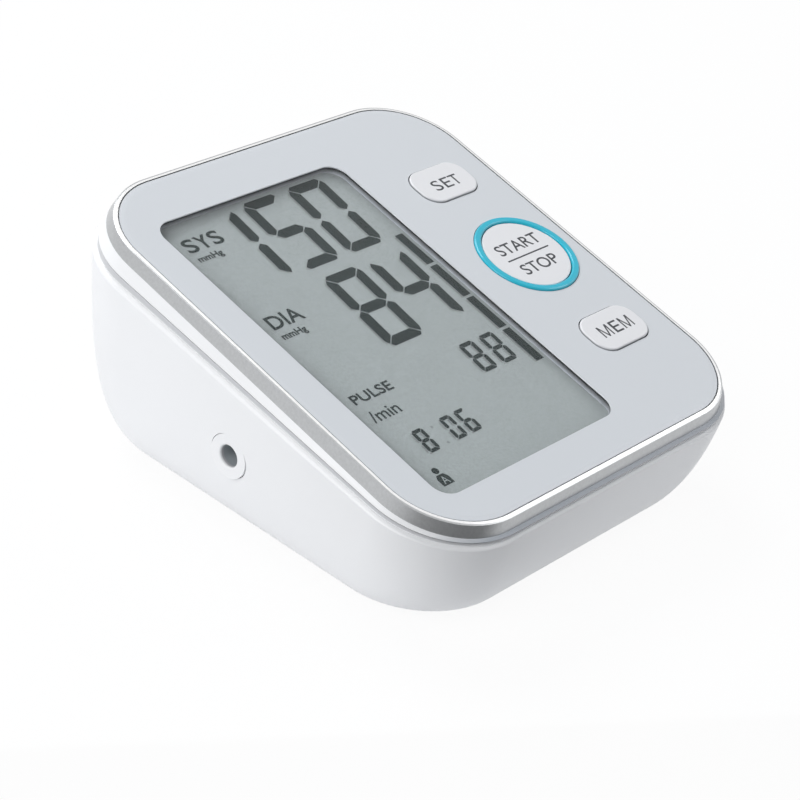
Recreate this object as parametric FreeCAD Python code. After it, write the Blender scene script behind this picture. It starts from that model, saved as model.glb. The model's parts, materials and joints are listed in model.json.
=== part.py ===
import FreeCAD, Part

import math
import os

# A desktop blood pressure monitor: a white wedge-shaped case, a sloping front panel with a display and
# three keys, and inside it the board, pump, valve, air lines and four AA cells.
#
# Part frame: +Z up, +Y to the tall back, +X to the right of the person reading the display. The origin
# is on the table under the middle of the case. Deck frame: x as above, u up the slope, w out of the
# front panel, from the middle of the panel's face. Millimetres and degrees.

V = FreeCAD.Vector
BIG = 300.0                 # reach of the cutting solids, more than the whole monitor
DEEP = 30.0                 # the same in the deck frame, more than the deck's own depth

# ---- front panel and deck
TILT = 14.0                 # slope of the front panel to the table
FRONT_HEIGHT = 30.4         # panel face above the table at its front edge
PANEL_W, PANEL_L, PANEL_R = 105.7, 117.4, 18.5
PANEL_T = 1.8
PANEL_EDGE_W, PANEL_EDGE_H = 1.3, 0.09      # soft fall of the face towards its edge
PANEL_GAP = 0.3             # between the panel and the bezel round it
FIT_GAP = 0.15              # between pieces that drop into one another

# ---- silver bezel, as distances out from the panel's edge and down from its face
RIM_OUT, RIM_DROP = 0.4, 0.03                # nearly flat inner rim
CHAMFER_OUT, CHAMFER_DROP = 1.0, 0.2         # outer end of the chamfer beside it
KEEL_OUT, KEEL_DROP = 1.92, 3.1
BEZEL_LEDGE = 2.0           # ledge under the panel

# ---- upper case
BAND_OUT = 2.89             # foot of the white band under the bezel
BAND_DROP, BAND_SLOPE = 3.34, 0.0299        # at the front edge, and its growth up the slope
DECK_T = 1.8
DECK_RING = 3.5             # width of the ring that carries the bezel, in from the panel's edge
TONGUE_OUT, TONGUE_T, TONGUE_H = 1.65, 1.2, 3.0
SNAP_L, SNAP_H, SNAP_OUT = 8.0, 1.5, 0.5
SNAP_DROP = 0.9             # top of a snap below the case's top edge
SNAP_PITCH = 30.0

# ---- lower case
WALL, FLOOR = 2.0, 2.0
FOOT_H = 0.8                # case bottom above the table
TOP_OUT = 2.93              # top edge of the case, out from the panel's edge
TOP_DROP, TOP_SLOPE = 4.6, 0.0394
SHOULDER = ((0.52, 0.25), (0.92, 0.75), (4.0, 13.0))   # round under the top edge: (out, down)
SWELL = 1.0                 # the wall below the shoulder, out from the top edge
SIDE_DRAFT, FRONT_DRAFT, BACK_DRAFT = 0.6, 5.2, 5.2
CORNER_R, CORNER_SHRINK = 22.0, 2.0
ROLL_SIDE, ROLL_FRONT, ROLL_BACK, ROLL_H = 12.0, 10.6, 6.0, 35.5
ROLL_POWER = 2.4            # the rolled bottom edge is part of a superellipse
CASE_SECTIONS, CASE_CROWDING = 10, 2.2     # outlines up the rolled edge, closer together low down
CUT_ROOM = 6.0              # height of the uncut wedge over the case's back top edge
LIP_OUT, LIP_GAP = 2.6, 0.5 # lip that stands inside the joint line, and its gap to the upper case
RABBET = 1.8                # inner face of the lip and of the rabbet for the tongue
LIP_ROOT = 1.5

# ---- display
WINDOW_W, WINDOW_L, WINDOW_R = 58.8, 94.35, 4.5
WINDOW_X, WINDOW_U = -14.6, -1.65
WINDOW_LAND = 0.3           # thickness of the panel over the lens's edge
LENS_LAP = 1.8
LCD_LAP, LCD_T, LCD_DROP = 2.4, 2.6, 3.1
GASKET_LAP = 0.4
REFLECTOR_T = 0.4
ZEBRA_W, ZEBRA_L, ZEBRA_INSET = 2.0, 50.0, 2.2
HOLDER_WALL, HOLDER_BACK = 1.3, 1.2
LEG_R, PEG_R, PEG_GAP = 2.2, 0.8, 0.1
LEG_IN, LEG_U = 3.4, 28.0

# ---- keys, on one line down the right side
KEY_X, KEY_U, KEY_PITCH = 36.2, -0.3, 28.8
RING_R, RING_IN_R, RING_RISE, RING_EDGE = 13.2, 11.4, 0.5, 0.5
START_R, START_RISE, START_EDGE = 11.2, 0.15, 0.3
KEY_W, KEY_L, KEY_R, KEY_RISE = 18.3, 11.4, 4.5, 0.5
KEY_GAP = 0.25
KEY_EDGE = 0.4              # rounding of a small key's top edge
FLANGE_OUT, FLANGE_T, FLANGE_GAP = 1.2, 1.0, 0.1
KEY_TRAVEL = 0.5

# ---- board, from the panel's face down
BOARD_DROP, BOARD_T = 9.0, 1.6
BOARD_W, BOARD_FRONT, BOARD_BACK, BOARD_R = 101.0, -54.8, 50.2, 12.0
SWITCH_W, SWITCH_H, PLUNGER_R, PLUNGER_SINK = 6.0, 3.4, 1.75, 1.2
BOARD_SCREWS = ((23.5, 44.0), (23.5, -45.0), (47.0, 17.5), (47.0, -17.5))
BOARD_BOSS_R, BOARD_PILOT_R, BOARD_SCREW_R, BOARD_SCREW_L = 2.7, 0.95, 0.9, 6.0
BOARD_HEAD_R, BOARD_HEAD_H, BOARD_HOLE_R = 2.1, 1.3, 1.1
CHIP_AT, CHIP_W, CHIP_T = (-10.0, 6.0), 14.0, 1.6
CRYSTAL_AT, CRYSTAL_W, CRYSTAL_L, CRYSTAL_T = (6.0, 10.0), 4.6, 10.5, 3.4
CAP_SPOTS, CAP_R, CAP_H = ((30.0, -4.0), (30.0, 6.0)), 3.15, 6.0
BUZZER_AT, BUZZER_R, BUZZER_H, BUZZER_HOLE_R = (12.0, -22.0), 7.0, 4.5, 1.0

# ---- battery bay, four AA cells side by side
CELL_R, CELL_L, NUB_R, NUB_L, CELLS = 7.1, 49.5, 2.7, 1.0, 4
CELL_PITCH, CELL_LIFT = 14.6, 0.2
PLATE_T, PLATE_W, PLATE_H, PLATE_GAP = 0.4, 9.0, 10.0, 0.05
TAB_W, TAB_H = 3.0, 3.0
SPRING_R, SPRING_WIRE_R, SPRING_PITCH, SPRING_L = 3.6, 0.4, 1.7, 6.05
BAY_SIDE, BAY_WALL, BAY_ROOF = 0.8, 2.5, 1.5
BAY_Y = -15.0
BAY_W = CELLS * CELL_PITCH + 2 * BAY_SIDE
BAY_L = CELL_L + NUB_L + SPRING_L + 2 * PLATE_T + 3 * PLATE_GAP

# ---- battery door
DOOR_LAP, DOOR_GAP, DOOR_T, DOOR_R = 1.4, 0.25, 1.8, 2.0
HOOK_W, HOOK_T, HOOK_REACH = 5.0, 1.4, 2.6
HOOK_LIFT, HOOK_ROOT = 0.3, 1.6
SLOT_SIDE, SLOT_TOP = 0.4, 3.2
LATCH_W, LATCH_L, LATCH_T, LATCH_SLIT = 12.0, 9.0, 1.0, 0.8
GRIP_W, GRIP_L, GRIP_DEPTH, GRIP_EDGE = 9.0, 5.0, 0.45, 1.0
DOOR_RIBS, DOOR_RIB_W, DOOR_RIB_L, DOOR_RIB_T = 3, 1.0, 42.0, 0.15

# ---- feet and case screws
# The case screws go up through the right-hand feet's seats, and those two feet cover their wells.
FOOT_R, FOOT_SINK, FOOT_GAP, FOOT_LAND = 4.5, 0.6, 0.1, 1.3
SPLIT_Z, SEAT_Z = 20.0, 14.5
POST_R, LOW_POST_R, WELL_R, SCREW_HOLE_R = 3.0, 4.9, 2.8, 1.6
SCREW_R, SCREW_HEAD_R, SCREW_HEAD_H, SCREW_L, PILOT_R = 1.25, 2.5, 1.8, 12.0, 1.3
POST_GAP = 0.5              # round a post where it passes the board, and from a key's flange
FOOT_X = BAY_W / 2 + DOOR_LAP + FOOT_R + FOOT_LAND
FOOT_Y = KEY_PITCH + KEY_L / 2 + FLANGE_OUT + POST_R + POST_GAP
CROSS_R, CROSS_W, CROSS_DEPTH = 1.5, 0.6, 0.8

# ---- air path
AIR_Z = 21.4                # height of the socket and of the pump's axis
JACK_FROM_BACK, JACK_R, JACK_FLANGE_R, JACK_FLANGE_T = 60.1, 5.21, 7.5, 1.4
JACK_SINK = 0.8             # face of the socket below the wall's outer face
JACK_CAP_T, JACK_CAP_EDGE = 1.2, 0.5
JACK_WELL_R, SEAL_R, SEAL_L = 4.3, 2.6, 7.2
JACK_BODY_R, JACK_BODY_END = 5.0, 3.2
LINE_FROM_SIDE = 13.18      # the air line that runs back from the socket, in from the case's side
NOZZLE_R, NOZZLE_BORE_R, NOZZLE_L = 1.6, 0.9, 4.0
HOSE_R, HOSE_BORE_R, HOSE_END_GAP = 2.9, 1.65, 0.4
MANIFOLD_R = 3.2
MANIFOLD_TOP_NOZZLE_L = 2.6
HOSE_FREE = 0.6             # bare length between two nozzles in one hose
SENSOR_BEND_RISE = 7.4      # of the sensor hose's bend above the manifold's axis
SENSOR_W, SENSOR_L, SENSOR_T, SENSOR_NOZZLE_L = 9.0, 11.0, 3.4, 3.6

# ---- pump, lying across the back
PUMP_FROM_BACK, PUMP_X = 25.3, -23.5
HEAD_R, HEAD_L, MOTOR_R, MOTOR_L, MOTOR_CAP_L = 13.5, 24.0, 12.2, 26.5, 2.5
SLEEVE_T, SLEEVE_L, SLEEVE_START = 1.6, 22.0, 3.0
SHAFT_R, SHAFT_GAP, SHAFT_TAIL = 1.0, 0.05, 1.5
CAN_T, BEARING_R, BEARING_L = 1.0, 3.0, 3.0
MAGNET_T, MAGNET_L, MAGNET_SPLIT = 2.6, 18.0, 5.0
ARMATURE_R, ARMATURE_L, ARMATURE_START, COMMUTATOR_R, COMMUTATOR_L = 8.2, 13.0, 5.5, 2.6, 5.0
CRANK_R, CRANK_T, CRANK_PIN_R, CRANK_PIN_AT, CRANK_PIN_L, CRANK_GAP = 6.0, 3.0, 1.0, 2.5, 3.5, 2.0
CHAMBER_R, CHAMBER_L = 11.1, 14.0
DIAPHRAGM_T, CUP_R, CUP_H, CUP_AT, CUPS = 1.5, 2.8, 2.0, 6.2, 3
WOBBLE_R, WOBBLE_T, HUB_R, HUB_L, HUB_BORE_R = 9.6, 1.5, 5.4, 2.5, 3.9
TERMINAL_W, TERMINAL_T, TERMINAL_L, TERMINAL_AT = 2.0, 0.5, 2.2, 2.2
SADDLE_T, SADDLE_SIDE, SADDLE_RISE, SADDLE_GAP = 2.5, 2.4, 6.0, 0.1
SADDLE_X = (-8.0, 21.5)

# ---- release valve
VALVE_W, VALVE_H, VALVE_BLOCK_L, VALVE_COIL_L, YOKE_T = 12.0, 12.0, 3.3, 9.0, 1.2
CORE_R, CORE_T, VALVE_TRAVEL = 2.0, 0.6, 0.8
PLUNGER_GAP, PLUNGER_L, PLUNGER_NOSE_R, PLUNGER_NOSE_L = 0.06, 6.8, 0.9, 1.2
VALVE_SPRING_WIRE_R, VALVE_SPRING_PITCH, VALVE_SPRING_L = 0.15, 0.5, 1.0
CRADLE_T, CRADLE_AT = 2.0, (1.7, 11.2)      # along the valve from the front of its block

# ---- mains adapter socket in the right wall
DC_FROM_BACK, DC_Z, DC_R, DC_BORE_R, DC_PIN_R = 53.3, 16.0, 5.0, 2.8, 1.05
DC_W, DC_H, DC_L, DC_DEPTH, DC_SINK = 9.0, 11.0, 14.8, 9.5, 1.0
DC_RIB_IN, DC_RIB_T = 8.8, 3.0

# ---- leads
WIRE_R, WIRE_END_GAP = 0.6, 0.25
PLUG_W, PLUG_L, PLUG_H = 7.0, 5.0, 5.0
LEAD_PITCH = 2.5
ARC_SHARE = 0.45            # share of the shorter run that a bend takes


def tan(degrees):
    return math.tan(math.radians(degrees))


def sin(degrees):
    return math.sin(math.radians(degrees))


def cos(degrees):
    return math.cos(math.radians(degrees))


# Where the deck stands: the case's front and back top edges are as far from the origin.
EDGE_OUT = TOP_OUT + SWELL
BACK_DROP = TOP_DROP + TOP_SLOPE * PANEL_L
FRONT_EDGE_Y = -EDGE_OUT * cos(TILT) + TOP_DROP * sin(TILT)
BACK_EDGE_Y = (PANEL_L + EDGE_OUT) * cos(TILT) + BACK_DROP * sin(TILT)
PANEL_FRONT_Y = -(FRONT_EDGE_Y + BACK_EDGE_Y) / 2
DECK_Y = PANEL_FRONT_Y + PANEL_L / 2 * cos(TILT)
DECK_Z = FRONT_HEIGHT + PANEL_L / 2 * sin(TILT)
DECK = FreeCAD.Placement(V(0, DECK_Y, DECK_Z), FreeCAD.Rotation(V(1, 0, 0), TILT))
OUT = V(0, -sin(TILT), cos(TILT))           # out of the panel, in the part frame

CASE_HALF_W = PANEL_W / 2 + EDGE_OUT
CASE_FRONT_Y = PANEL_FRONT_Y + FRONT_EDGE_Y
CASE_BACK_Y = PANEL_FRONT_Y + BACK_EDGE_Y
FRONT_EDGE_Z = FRONT_HEIGHT - EDGE_OUT * sin(TILT) - TOP_DROP * cos(TILT)
BACK_EDGE_Z = FRONT_HEIGHT + (PANEL_L + EDGE_OUT) * sin(TILT) - BACK_DROP * cos(TILT)
SIDE_EDGE_Z = (FRONT_EDGE_Z + BACK_EDGE_Z) / 2
CASE_TOP_Z = BACK_EDGE_Z + CUT_ROOM
FLOOR_Z = FOOT_H + FLOOR
BOARD_TOP = -BOARD_DROP
BOARD_BOTTOM = -BOARD_DROP - BOARD_T
DECK_BOTTOM = -PANEL_T - DECK_T
DOOR_TOP_Z = FOOT_H + DOOR_T
CELL_Z = DOOR_TOP_Z + CELL_LIFT + CELL_R
BAY_TOP_Z = CELL_Z + CELL_R + CELL_LIFT
BAY_BACK_Y = BAY_Y + BAY_L / 2
SHAFT_X = PUMP_X + HEAD_L                   # motor's face, where its shaft comes out
JACK_Y = CASE_BACK_Y - JACK_FROM_BACK
PUMP_Y = CASE_BACK_Y - PUMP_FROM_BACK
DC_Y = CASE_BACK_Y - DC_FROM_BACK
LINE_X = LINE_FROM_SIDE - CASE_HALF_W
MANIFOLD_Y = JACK_Y + JACK_BODY_R + 2 * NOZZLE_L + HOSE_FREE + MANIFOLD_R
VALVE_TIP_Y = MANIFOLD_Y + MANIFOLD_R + NOZZLE_L + HOSE_FREE
VALVE_Y = VALVE_TIP_Y + NOZZLE_L            # front of the valve's block
VALVE_LEAD_Y = VALVE_Y + VALVE_BLOCK_L + VALVE_COIL_L / 2
DC_RIB_X = CASE_HALF_W - DC_RIB_IN


def deck(shape):
    """The shape, drawn in the deck frame, put into the part frame."""
    placed = shape.copy()
    placed.Placement = DECK.multiply(placed.Placement)
    return placed


def to_deck(point):
    return DECK.inverse().multVec(point)


def fuse(shapes):
    first, *rest = shapes
    return first.multiFuse(rest).removeSplitter() if rest else first


def cut(shape, tools):
    return shape.cut(tools)


def box(x0, x1, y0, y1, z0, z1):
    return Part.makeBox(x1 - x0, y1 - y0, z1 - z0, V(x0, y0, z0))


def block(centre_x, centre_y, width, length, z0, z1):
    return box(centre_x - width / 2, centre_x + width / 2, centre_y - length / 2,
               centre_y + length / 2, z0, z1)


def rod(radius, start, end):
    return Part.makeCylinder(radius, (end - start).Length, start, end - start)


def pipe_piece(outer, inner, start, end):
    return rod(outer, start, end).cut(rod(inner, start, end))


def outline(x0, x1, y0, y1, radius, z):
    """Rounded rectangle at height z, as one wire of four sides and four arcs."""
    turn = radius * math.sqrt(0.5)
    corners = ((x1, y0, 1, -1), (x1, y1, 1, 1), (x0, y1, -1, 1), (x0, y0, -1, -1))
    arcs = []
    for x, y, sx, sy in corners:
        centre = V(x - sx * radius, y - sy * radius, z)
        ends = [centre + V(0, sy * radius, 0), centre + V(sx * radius, 0, 0)]
        if sx == sy:
            ends.reverse()
        arcs.append((ends[0], centre + V(sx * turn, sy * turn, 0), ends[1]))
    edges = []
    for (start, middle, end), (following, _, _) in zip(arcs, arcs[1:] + arcs[:1]):
        edges.append(Part.Arc(start, middle, end).toShape())
        edges.append(Part.LineSegment(end, following).toShape())
    return Part.Wire(edges)


def centred(width, length, radius, z, x=0.0, u=0.0):
    return outline(x - width / 2, x + width / 2, u - length / 2, u + length / 2, radius, z)


def slab(width, length, radius, z0, z1, x=0.0, u=0.0):
    return Part.Face(centred(width, length, radius, z0, x, u)).extrude(V(0, 0, z1 - z0))


def panel_outline(out, w):
    """The front panel's outline moved outwards, at depth w in the deck frame."""
    return centred(PANEL_W + 2 * out, PANEL_L + 2 * out, PANEL_R + out, w)


def panel_slab(out, w0, w1):
    return slab(PANEL_W + 2 * out, PANEL_L + 2 * out, PANEL_R + out, w0, w1)


def joint_plane(drop, slope):
    """Placement in the deck frame of a plane that falls away from the panel's face up the slope."""
    turn = FreeCAD.Rotation(V(1, 0, 0), -math.degrees(math.atan(slope)))
    return FreeCAD.Placement(V(0, -PANEL_L / 2, -drop), turn)


def above(drop, slope):
    tool = box(-BIG, BIG, -BIG, BIG, 0, BIG)
    tool.Placement = joint_plane(drop, slope)
    return tool


def below(drop, slope):
    tool = box(-BIG, BIG, -BIG, BIG, -BIG, 0)
    tool.Placement = joint_plane(drop, slope)
    return tool


def top_edge_w(u):
    """Depth of the lower case's top edge at a place up the slope."""
    return -TOP_DROP - TOP_SLOPE * (u + PANEL_L / 2)


# ---------------------------------------------------------------- case

def case_outline(z, inset=0.0, lift=0.0):
    """Outline of the case at height z. The cavity is the same shape, moved in and lifted."""
    level = z - lift
    share = min(1.0, max(0.0, (level - FOOT_H) / ROLL_H))
    roll = 1 - (1 - (1 - share) ** ROLL_POWER) ** (1 / ROLL_POWER)
    half = CASE_HALF_W - tan(SIDE_DRAFT) * (SIDE_EDGE_Z - level) - ROLL_SIDE * roll - inset
    front = CASE_FRONT_Y + tan(FRONT_DRAFT) * (FRONT_EDGE_Z - level) + ROLL_FRONT * roll + inset
    back = CASE_BACK_Y - tan(BACK_DRAFT) * (BACK_EDGE_Z - level) - ROLL_BACK * roll - inset
    return outline(-half, half, front, back, CORNER_R - CORNER_SHRINK * roll - inset, z)


def case_solid(inset=0.0, lift=0.0):
    """The wedge before its top is cut, lofted through outlines that crowd towards the rolled edge."""
    levels = [FOOT_H + ROLL_H * (i / CASE_SECTIONS) ** CASE_CROWDING for i in range(CASE_SECTIONS + 1)]
    levels.append(CASE_TOP_Z)
    return Part.makeLoft([case_outline(z + lift, inset, lift) for z in levels], True, False)


CASE_SOLID = case_solid()
CAVITY = case_solid(WALL, FLOOR)


def shoulder():
    """Solid whose side rounds the case's top edge and then stands clear of the wall."""
    steps = ((0.0, 0.0),) + SHOULDER
    wires = [panel_outline(TOP_OUT + out, -down) for out, down in steps]
    solid = Part.makeLoft(wires, True, True)
    tool = solid.copy()
    tool.Placement = joint_plane(TOP_DROP, TOP_SLOPE).multiply(
        FreeCAD.Placement(V(0, PANEL_L / 2, 0), FreeCAD.Rotation()))
    upper = deck(tool)
    low = deck(below(TOP_DROP + SHOULDER[-1][1], TOP_SLOPE))
    return upper.fuse(low)


def inside(shape):
    """The part of a rib or post that lies within the case's outer face."""
    return shape.common(CASE_SOLID)


def lip():
    """Thin lip that stands up inside the joint line, behind the gap under the white band."""
    ring = panel_slab(LIP_OUT, -DEEP, 0).cut(panel_slab(RABBET, -DEEP, 0))
    ring = ring.cut(above(BAND_DROP + LIP_GAP, BAND_SLOPE)).cut(below(TOP_DROP + LIP_ROOT, TOP_SLOPE))
    return deck(ring)


def rabbet():
    """Room for the upper case's tongue."""
    depth = TOP_DROP + TONGUE_H + 2 * FIT_GAP
    return deck(panel_slab(RABBET, -DEEP, DEEP).cut(below(depth, TOP_SLOPE)))


def snap_blocks(grow):
    """Snaps down both sides of the tongue, or with grow their pockets in the wall."""
    blocks = []
    for side in (-1, 1):
        face = side * (PANEL_W / 2 + TONGUE_OUT)
        tip = face + side * (SNAP_OUT + grow)
        for u in (-SNAP_PITCH, 0.0, SNAP_PITCH):
            top = top_edge_w(u) - SNAP_DROP + grow
            blocks.append(box(min(face - side * TONGUE_T / 2, tip), max(face - side * TONGUE_T / 2, tip),
                              u - SNAP_L / 2 - grow, u + SNAP_L / 2 + grow,
                              top - SNAP_H - 2 * grow, top))
    return [deck(b) for b in blocks]


def battery_tub():
    """Walls and roof of the battery bay, open at the bottom."""
    outer = block(0, BAY_Y, BAY_W + 2 * BAY_WALL, BAY_L + 2 * BAY_WALL, FOOT_H, BAY_TOP_Z + BAY_ROOF)
    tub = outer.cut(block(0, BAY_Y, BAY_W, BAY_L, 0, BAY_TOP_Z))
    slots = [block(x, BAY_BACK_Y - PLATE_T / 2, TAB_W + 2 * FIT_GAP, PLATE_T + 2 * FIT_GAP,
                   BAY_TOP_Z - FIT_GAP, BIG) for x in tab_places()]
    return tub.cut(slots)


def door_pocket():
    """Seat of the battery door in the floor, with slots for its two hooks in the bay's back wall."""
    seat_top = DOOR_TOP_Z + DOOR_GAP
    seat = slab(BAY_W + 2 * DOOR_LAP, BAY_L + 2 * DOOR_LAP, DOOR_R, 0, seat_top, 0, BAY_Y)
    slots = [box(side * CELL_PITCH - HOOK_W / 2 - SLOT_SIDE, side * CELL_PITCH + HOOK_W / 2 + SLOT_SIDE,
                 BAY_BACK_Y - FIT_GAP, BAY_BACK_Y + BAY_WALL + FIT_GAP, FLOOR_Z,
                 FLOOR_Z + HOOK_LIFT + HOOK_T + SLOT_TOP - FIT_GAP) for side in (-1, 1)]
    return [seat] + slots


def foot_places():
    return [(sx * FOOT_X, sy * FOOT_Y) for sx in (-1, 1) for sy in (-1, 1)]


def screw_places():
    return [(FOOT_X, sy * FOOT_Y) for sy in (-1, 1)]


def saddles():
    """Ribs that the pump snaps into, one under its head and one under the motor's sleeve."""
    ribs = []
    for x, radius in zip(SADDLE_X, (HEAD_R, MOTOR_R + SLEEVE_T)):
        half = radius + SADDLE_SIDE
        rib = box(x - SADDLE_T / 2, x + SADDLE_T / 2, PUMP_Y - half, PUMP_Y + half, FOOT_H,
                  AIR_Z + SADDLE_RISE)
        seat = rod(radius + SADDLE_GAP, V(x - SADDLE_T, PUMP_Y, AIR_Z), V(x + SADDLE_T, PUMP_Y, AIR_Z))
        ribs.append(rib.cut(seat))
    return ribs


def cradles():
    """Ribs under the valve and under the adapter socket."""
    valve = [box(LINE_X - VALVE_W / 2, LINE_X + VALVE_W / 2, y - CRADLE_T / 2, y + CRADLE_T / 2,
                 FOOT_H, AIR_Z - VALVE_H / 2) for y in (VALVE_Y + at for at in CRADLE_AT)]
    socket = box(DC_RIB_X - DC_RIB_T / 2, DC_RIB_X + DC_RIB_T / 2, DC_Y - DC_W / 2, DC_Y + DC_W / 2,
                 FOOT_H, DC_Z - DC_H / 2)
    return valve + [socket]


def lower_case():
    shell = CASE_SOLID.cut(deck(above(TOP_DROP, TOP_SLOPE))).common(shoulder()).cut(CAVITY)
    posts = [rod(LOW_POST_R, V(x, y, FOOT_H), V(x, y, SPLIT_Z)) for x, y in screw_places()]
    inner = [inside(s) for s in [battery_tub()] + saddles() + cradles() + posts]
    case = fuse([shell, lip()] + inner)
    holes = door_pocket()
    for x, y in screw_places():
        holes.append(rod(WELL_R, V(x, y, 0), V(x, y, SEAT_Z)))
        holes.append(rod(SCREW_HOLE_R, V(x, y, 0), V(x, y, SPLIT_Z + 1)))
    for x, y in foot_places():
        holes.append(rod(FOOT_R + FOOT_GAP, V(x, y, 0), V(x, y, FOOT_H + FOOT_SINK)))
    holes.append(rod(JACK_R + FIT_GAP, V(-BIG, JACK_Y, AIR_Z), V(LINE_X, JACK_Y, AIR_Z)))
    holes.append(rod(DC_R + FIT_GAP, V(DC_RIB_X + DC_RIB_T, DC_Y, DC_Z), V(BIG, DC_Y, DC_Z)))
    return cut(case, holes + [rabbet()] + snap_blocks(FIT_GAP))


def upper_case():
    """Deck, white band and tongue in one moulding, with the board's bosses and the screw posts."""
    foot = panel_outline(BAND_OUT, 0)
    foot.Placement = joint_plane(BAND_DROP, BAND_SLOPE).multiply(
        FreeCAD.Placement(V(0, PANEL_L / 2, 0), FreeCAD.Rotation()))
    band = Part.makeLoft([panel_outline(KEEL_OUT, -KEEL_DROP), foot], True, True)
    hollow = panel_slab(TONGUE_OUT - TONGUE_T, -DEEP, DEEP)
    tongue = panel_slab(TONGUE_OUT, -DEEP, -KEEL_DROP).cut(below(TOP_DROP + TONGUE_H, TOP_SLOPE))
    ring = panel_slab(TONGUE_OUT, -KEEL_DROP - DECK_T, -KEEL_DROP).cut(
        panel_slab(-DECK_RING, -DEEP, DEEP))
    platform = panel_slab(-BEZEL_LEDGE - FIT_GAP, DECK_BOTTOM, -PANEL_T)
    bosses = [rod(BOARD_BOSS_R, V(x, u, BOARD_TOP), V(x, u, -PANEL_T)) for x, u in BOARD_SCREWS]
    body = [deck(s) for s in [band.cut(hollow), tongue.cut(hollow), ring, platform] + bosses]
    under_deck = deck(panel_slab(0, -2 * DEEP, -PANEL_T - DECK_T / 2))
    posts = [rod(POST_R, V(x, y, SPLIT_Z), V(x, y, CASE_TOP_Z)).common(under_deck)
             for x, y in screw_places()]
    case = fuse(body + posts + snap_blocks(0.0))
    holes = [lcd_slab(FIT_GAP * 2, -DEEP, DEEP), start_hole(RING_IN_R),
             lcd_slab(HOLDER_WALL + 2 * FIT_GAP, -DEEP, DECK_BOTTOM)]
    holes += [key_slab(u, KEY_GAP, -DEEP, DEEP) for u in key_places()]
    holes += [rod(BOARD_PILOT_R, V(x, u, BOARD_TOP), V(x, u, BOARD_TOP + BOARD_SCREW_L))
              for x, u in BOARD_SCREWS]
    holes = [deck(h) for h in holes]
    holes += [rod(PILOT_R, V(x, y, SPLIT_Z), V(x, y, SEAT_Z + SCREW_L + 1)) for x, y in screw_places()]
    return cut(case, holes)


def silver_bezel():
    """Frame round the panel: a narrow rim, a chamfer and a steep flank, over a ledge for the panel."""
    steps = [(0.0, 0.0), (RIM_OUT, RIM_DROP), (CHAMFER_OUT, CHAMFER_DROP), (KEEL_OUT, KEEL_DROP)]
    wires = [panel_outline(out, -down) for out, down in steps]
    outer = fuse([Part.makeLoft([upper, lower], True, True) for upper, lower in zip(wires, wires[1:])])
    inner = [panel_slab(0.0, -PANEL_T, DEEP), panel_slab(-BEZEL_LEDGE, -DEEP, DEEP)]
    return deck(cut(outer, inner))


# ---------------------------------------------------------------- front panel and display

def window_slab(lap, w0, w1):
    corner = WINDOW_R + max(lap, 0) / 2
    return slab(WINDOW_W + 2 * lap, WINDOW_L + 2 * lap, corner, w0, w1, WINDOW_X, WINDOW_U)


def lcd_slab(grow, w0, w1):
    return slab(WINDOW_W + 2 * (LCD_LAP + grow), WINDOW_L + 2 * (LCD_LAP + grow), 1.0, w0, w1,
                WINDOW_X, WINDOW_U)


def key_places():
    return [KEY_U + KEY_PITCH, KEY_U - KEY_PITCH]


def key_slab(u, grow, w0, w1):
    return slab(KEY_W + 2 * grow, KEY_L + 2 * grow, KEY_R + grow, w0, w1, KEY_X, u)


def start_hole(radius):
    return rod(radius, V(KEY_X, KEY_U, -DEEP), V(KEY_X, KEY_U, DEEP))


def fascia_plate():
    steps = [(-PANEL_GAP - PANEL_EDGE_W, 0.0), (-PANEL_GAP, -PANEL_EDGE_H), (-PANEL_GAP, -PANEL_T)]
    plate = Part.makeLoft([panel_outline(out, w) for out, w in steps], True, True)
    holes = [window_slab(0.0, -DEEP, DEEP), window_slab(LENS_LAP + FIT_GAP, -DEEP, -WINDOW_LAND),
             start_hole(RING_R + KEY_GAP / 2)]
    holes += [key_slab(u, KEY_GAP, -DEEP, DEEP) for u in key_places()]
    return deck(cut(plate, holes))


def window_lens():
    return deck(window_slab(LENS_LAP, -PANEL_T, -WINDOW_LAND))


def display_gasket():
    ring = lcd_slab(-FIT_GAP, -LCD_DROP, -PANEL_T).cut(window_slab(GASKET_LAP, -DEEP, DEEP))
    return deck(ring.common(window_slab(LENS_LAP, -DEEP, DEEP)))


def lcd_glass():
    return deck(lcd_slab(0.0, -LCD_DROP - LCD_T, -LCD_DROP))


LCD_BOTTOM = -LCD_DROP - LCD_T
HOLDER_SHELF = LCD_BOTTOM - REFLECTOR_T
LCD_HALF_L = WINDOW_L / 2 + LCD_LAP


def zebra_places():
    reach = LCD_HALF_L - ZEBRA_INSET
    return [WINDOW_U - reach, WINDOW_U + reach]


def lcd_reflector():
    length = 2 * (LCD_HALF_L - 2 * ZEBRA_INSET)
    return deck(block(WINDOW_X, WINDOW_U, WINDOW_W + 2 * LCD_LAP, length, HOLDER_SHELF, LCD_BOTTOM))


def zebra_strips():
    strips = [block(WINDOW_X, u, ZEBRA_L, ZEBRA_W, BOARD_TOP, LCD_BOTTOM) for u in zebra_places()]
    return deck(Part.makeCompound(strips))


def leg_places():
    half_w = WINDOW_W / 2 + LCD_LAP - LEG_IN
    return [(WINDOW_X + sx * half_w, WINDOW_U + sy * LEG_U) for sx in (-1, 1) for sy in (-1, 1)]


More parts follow.
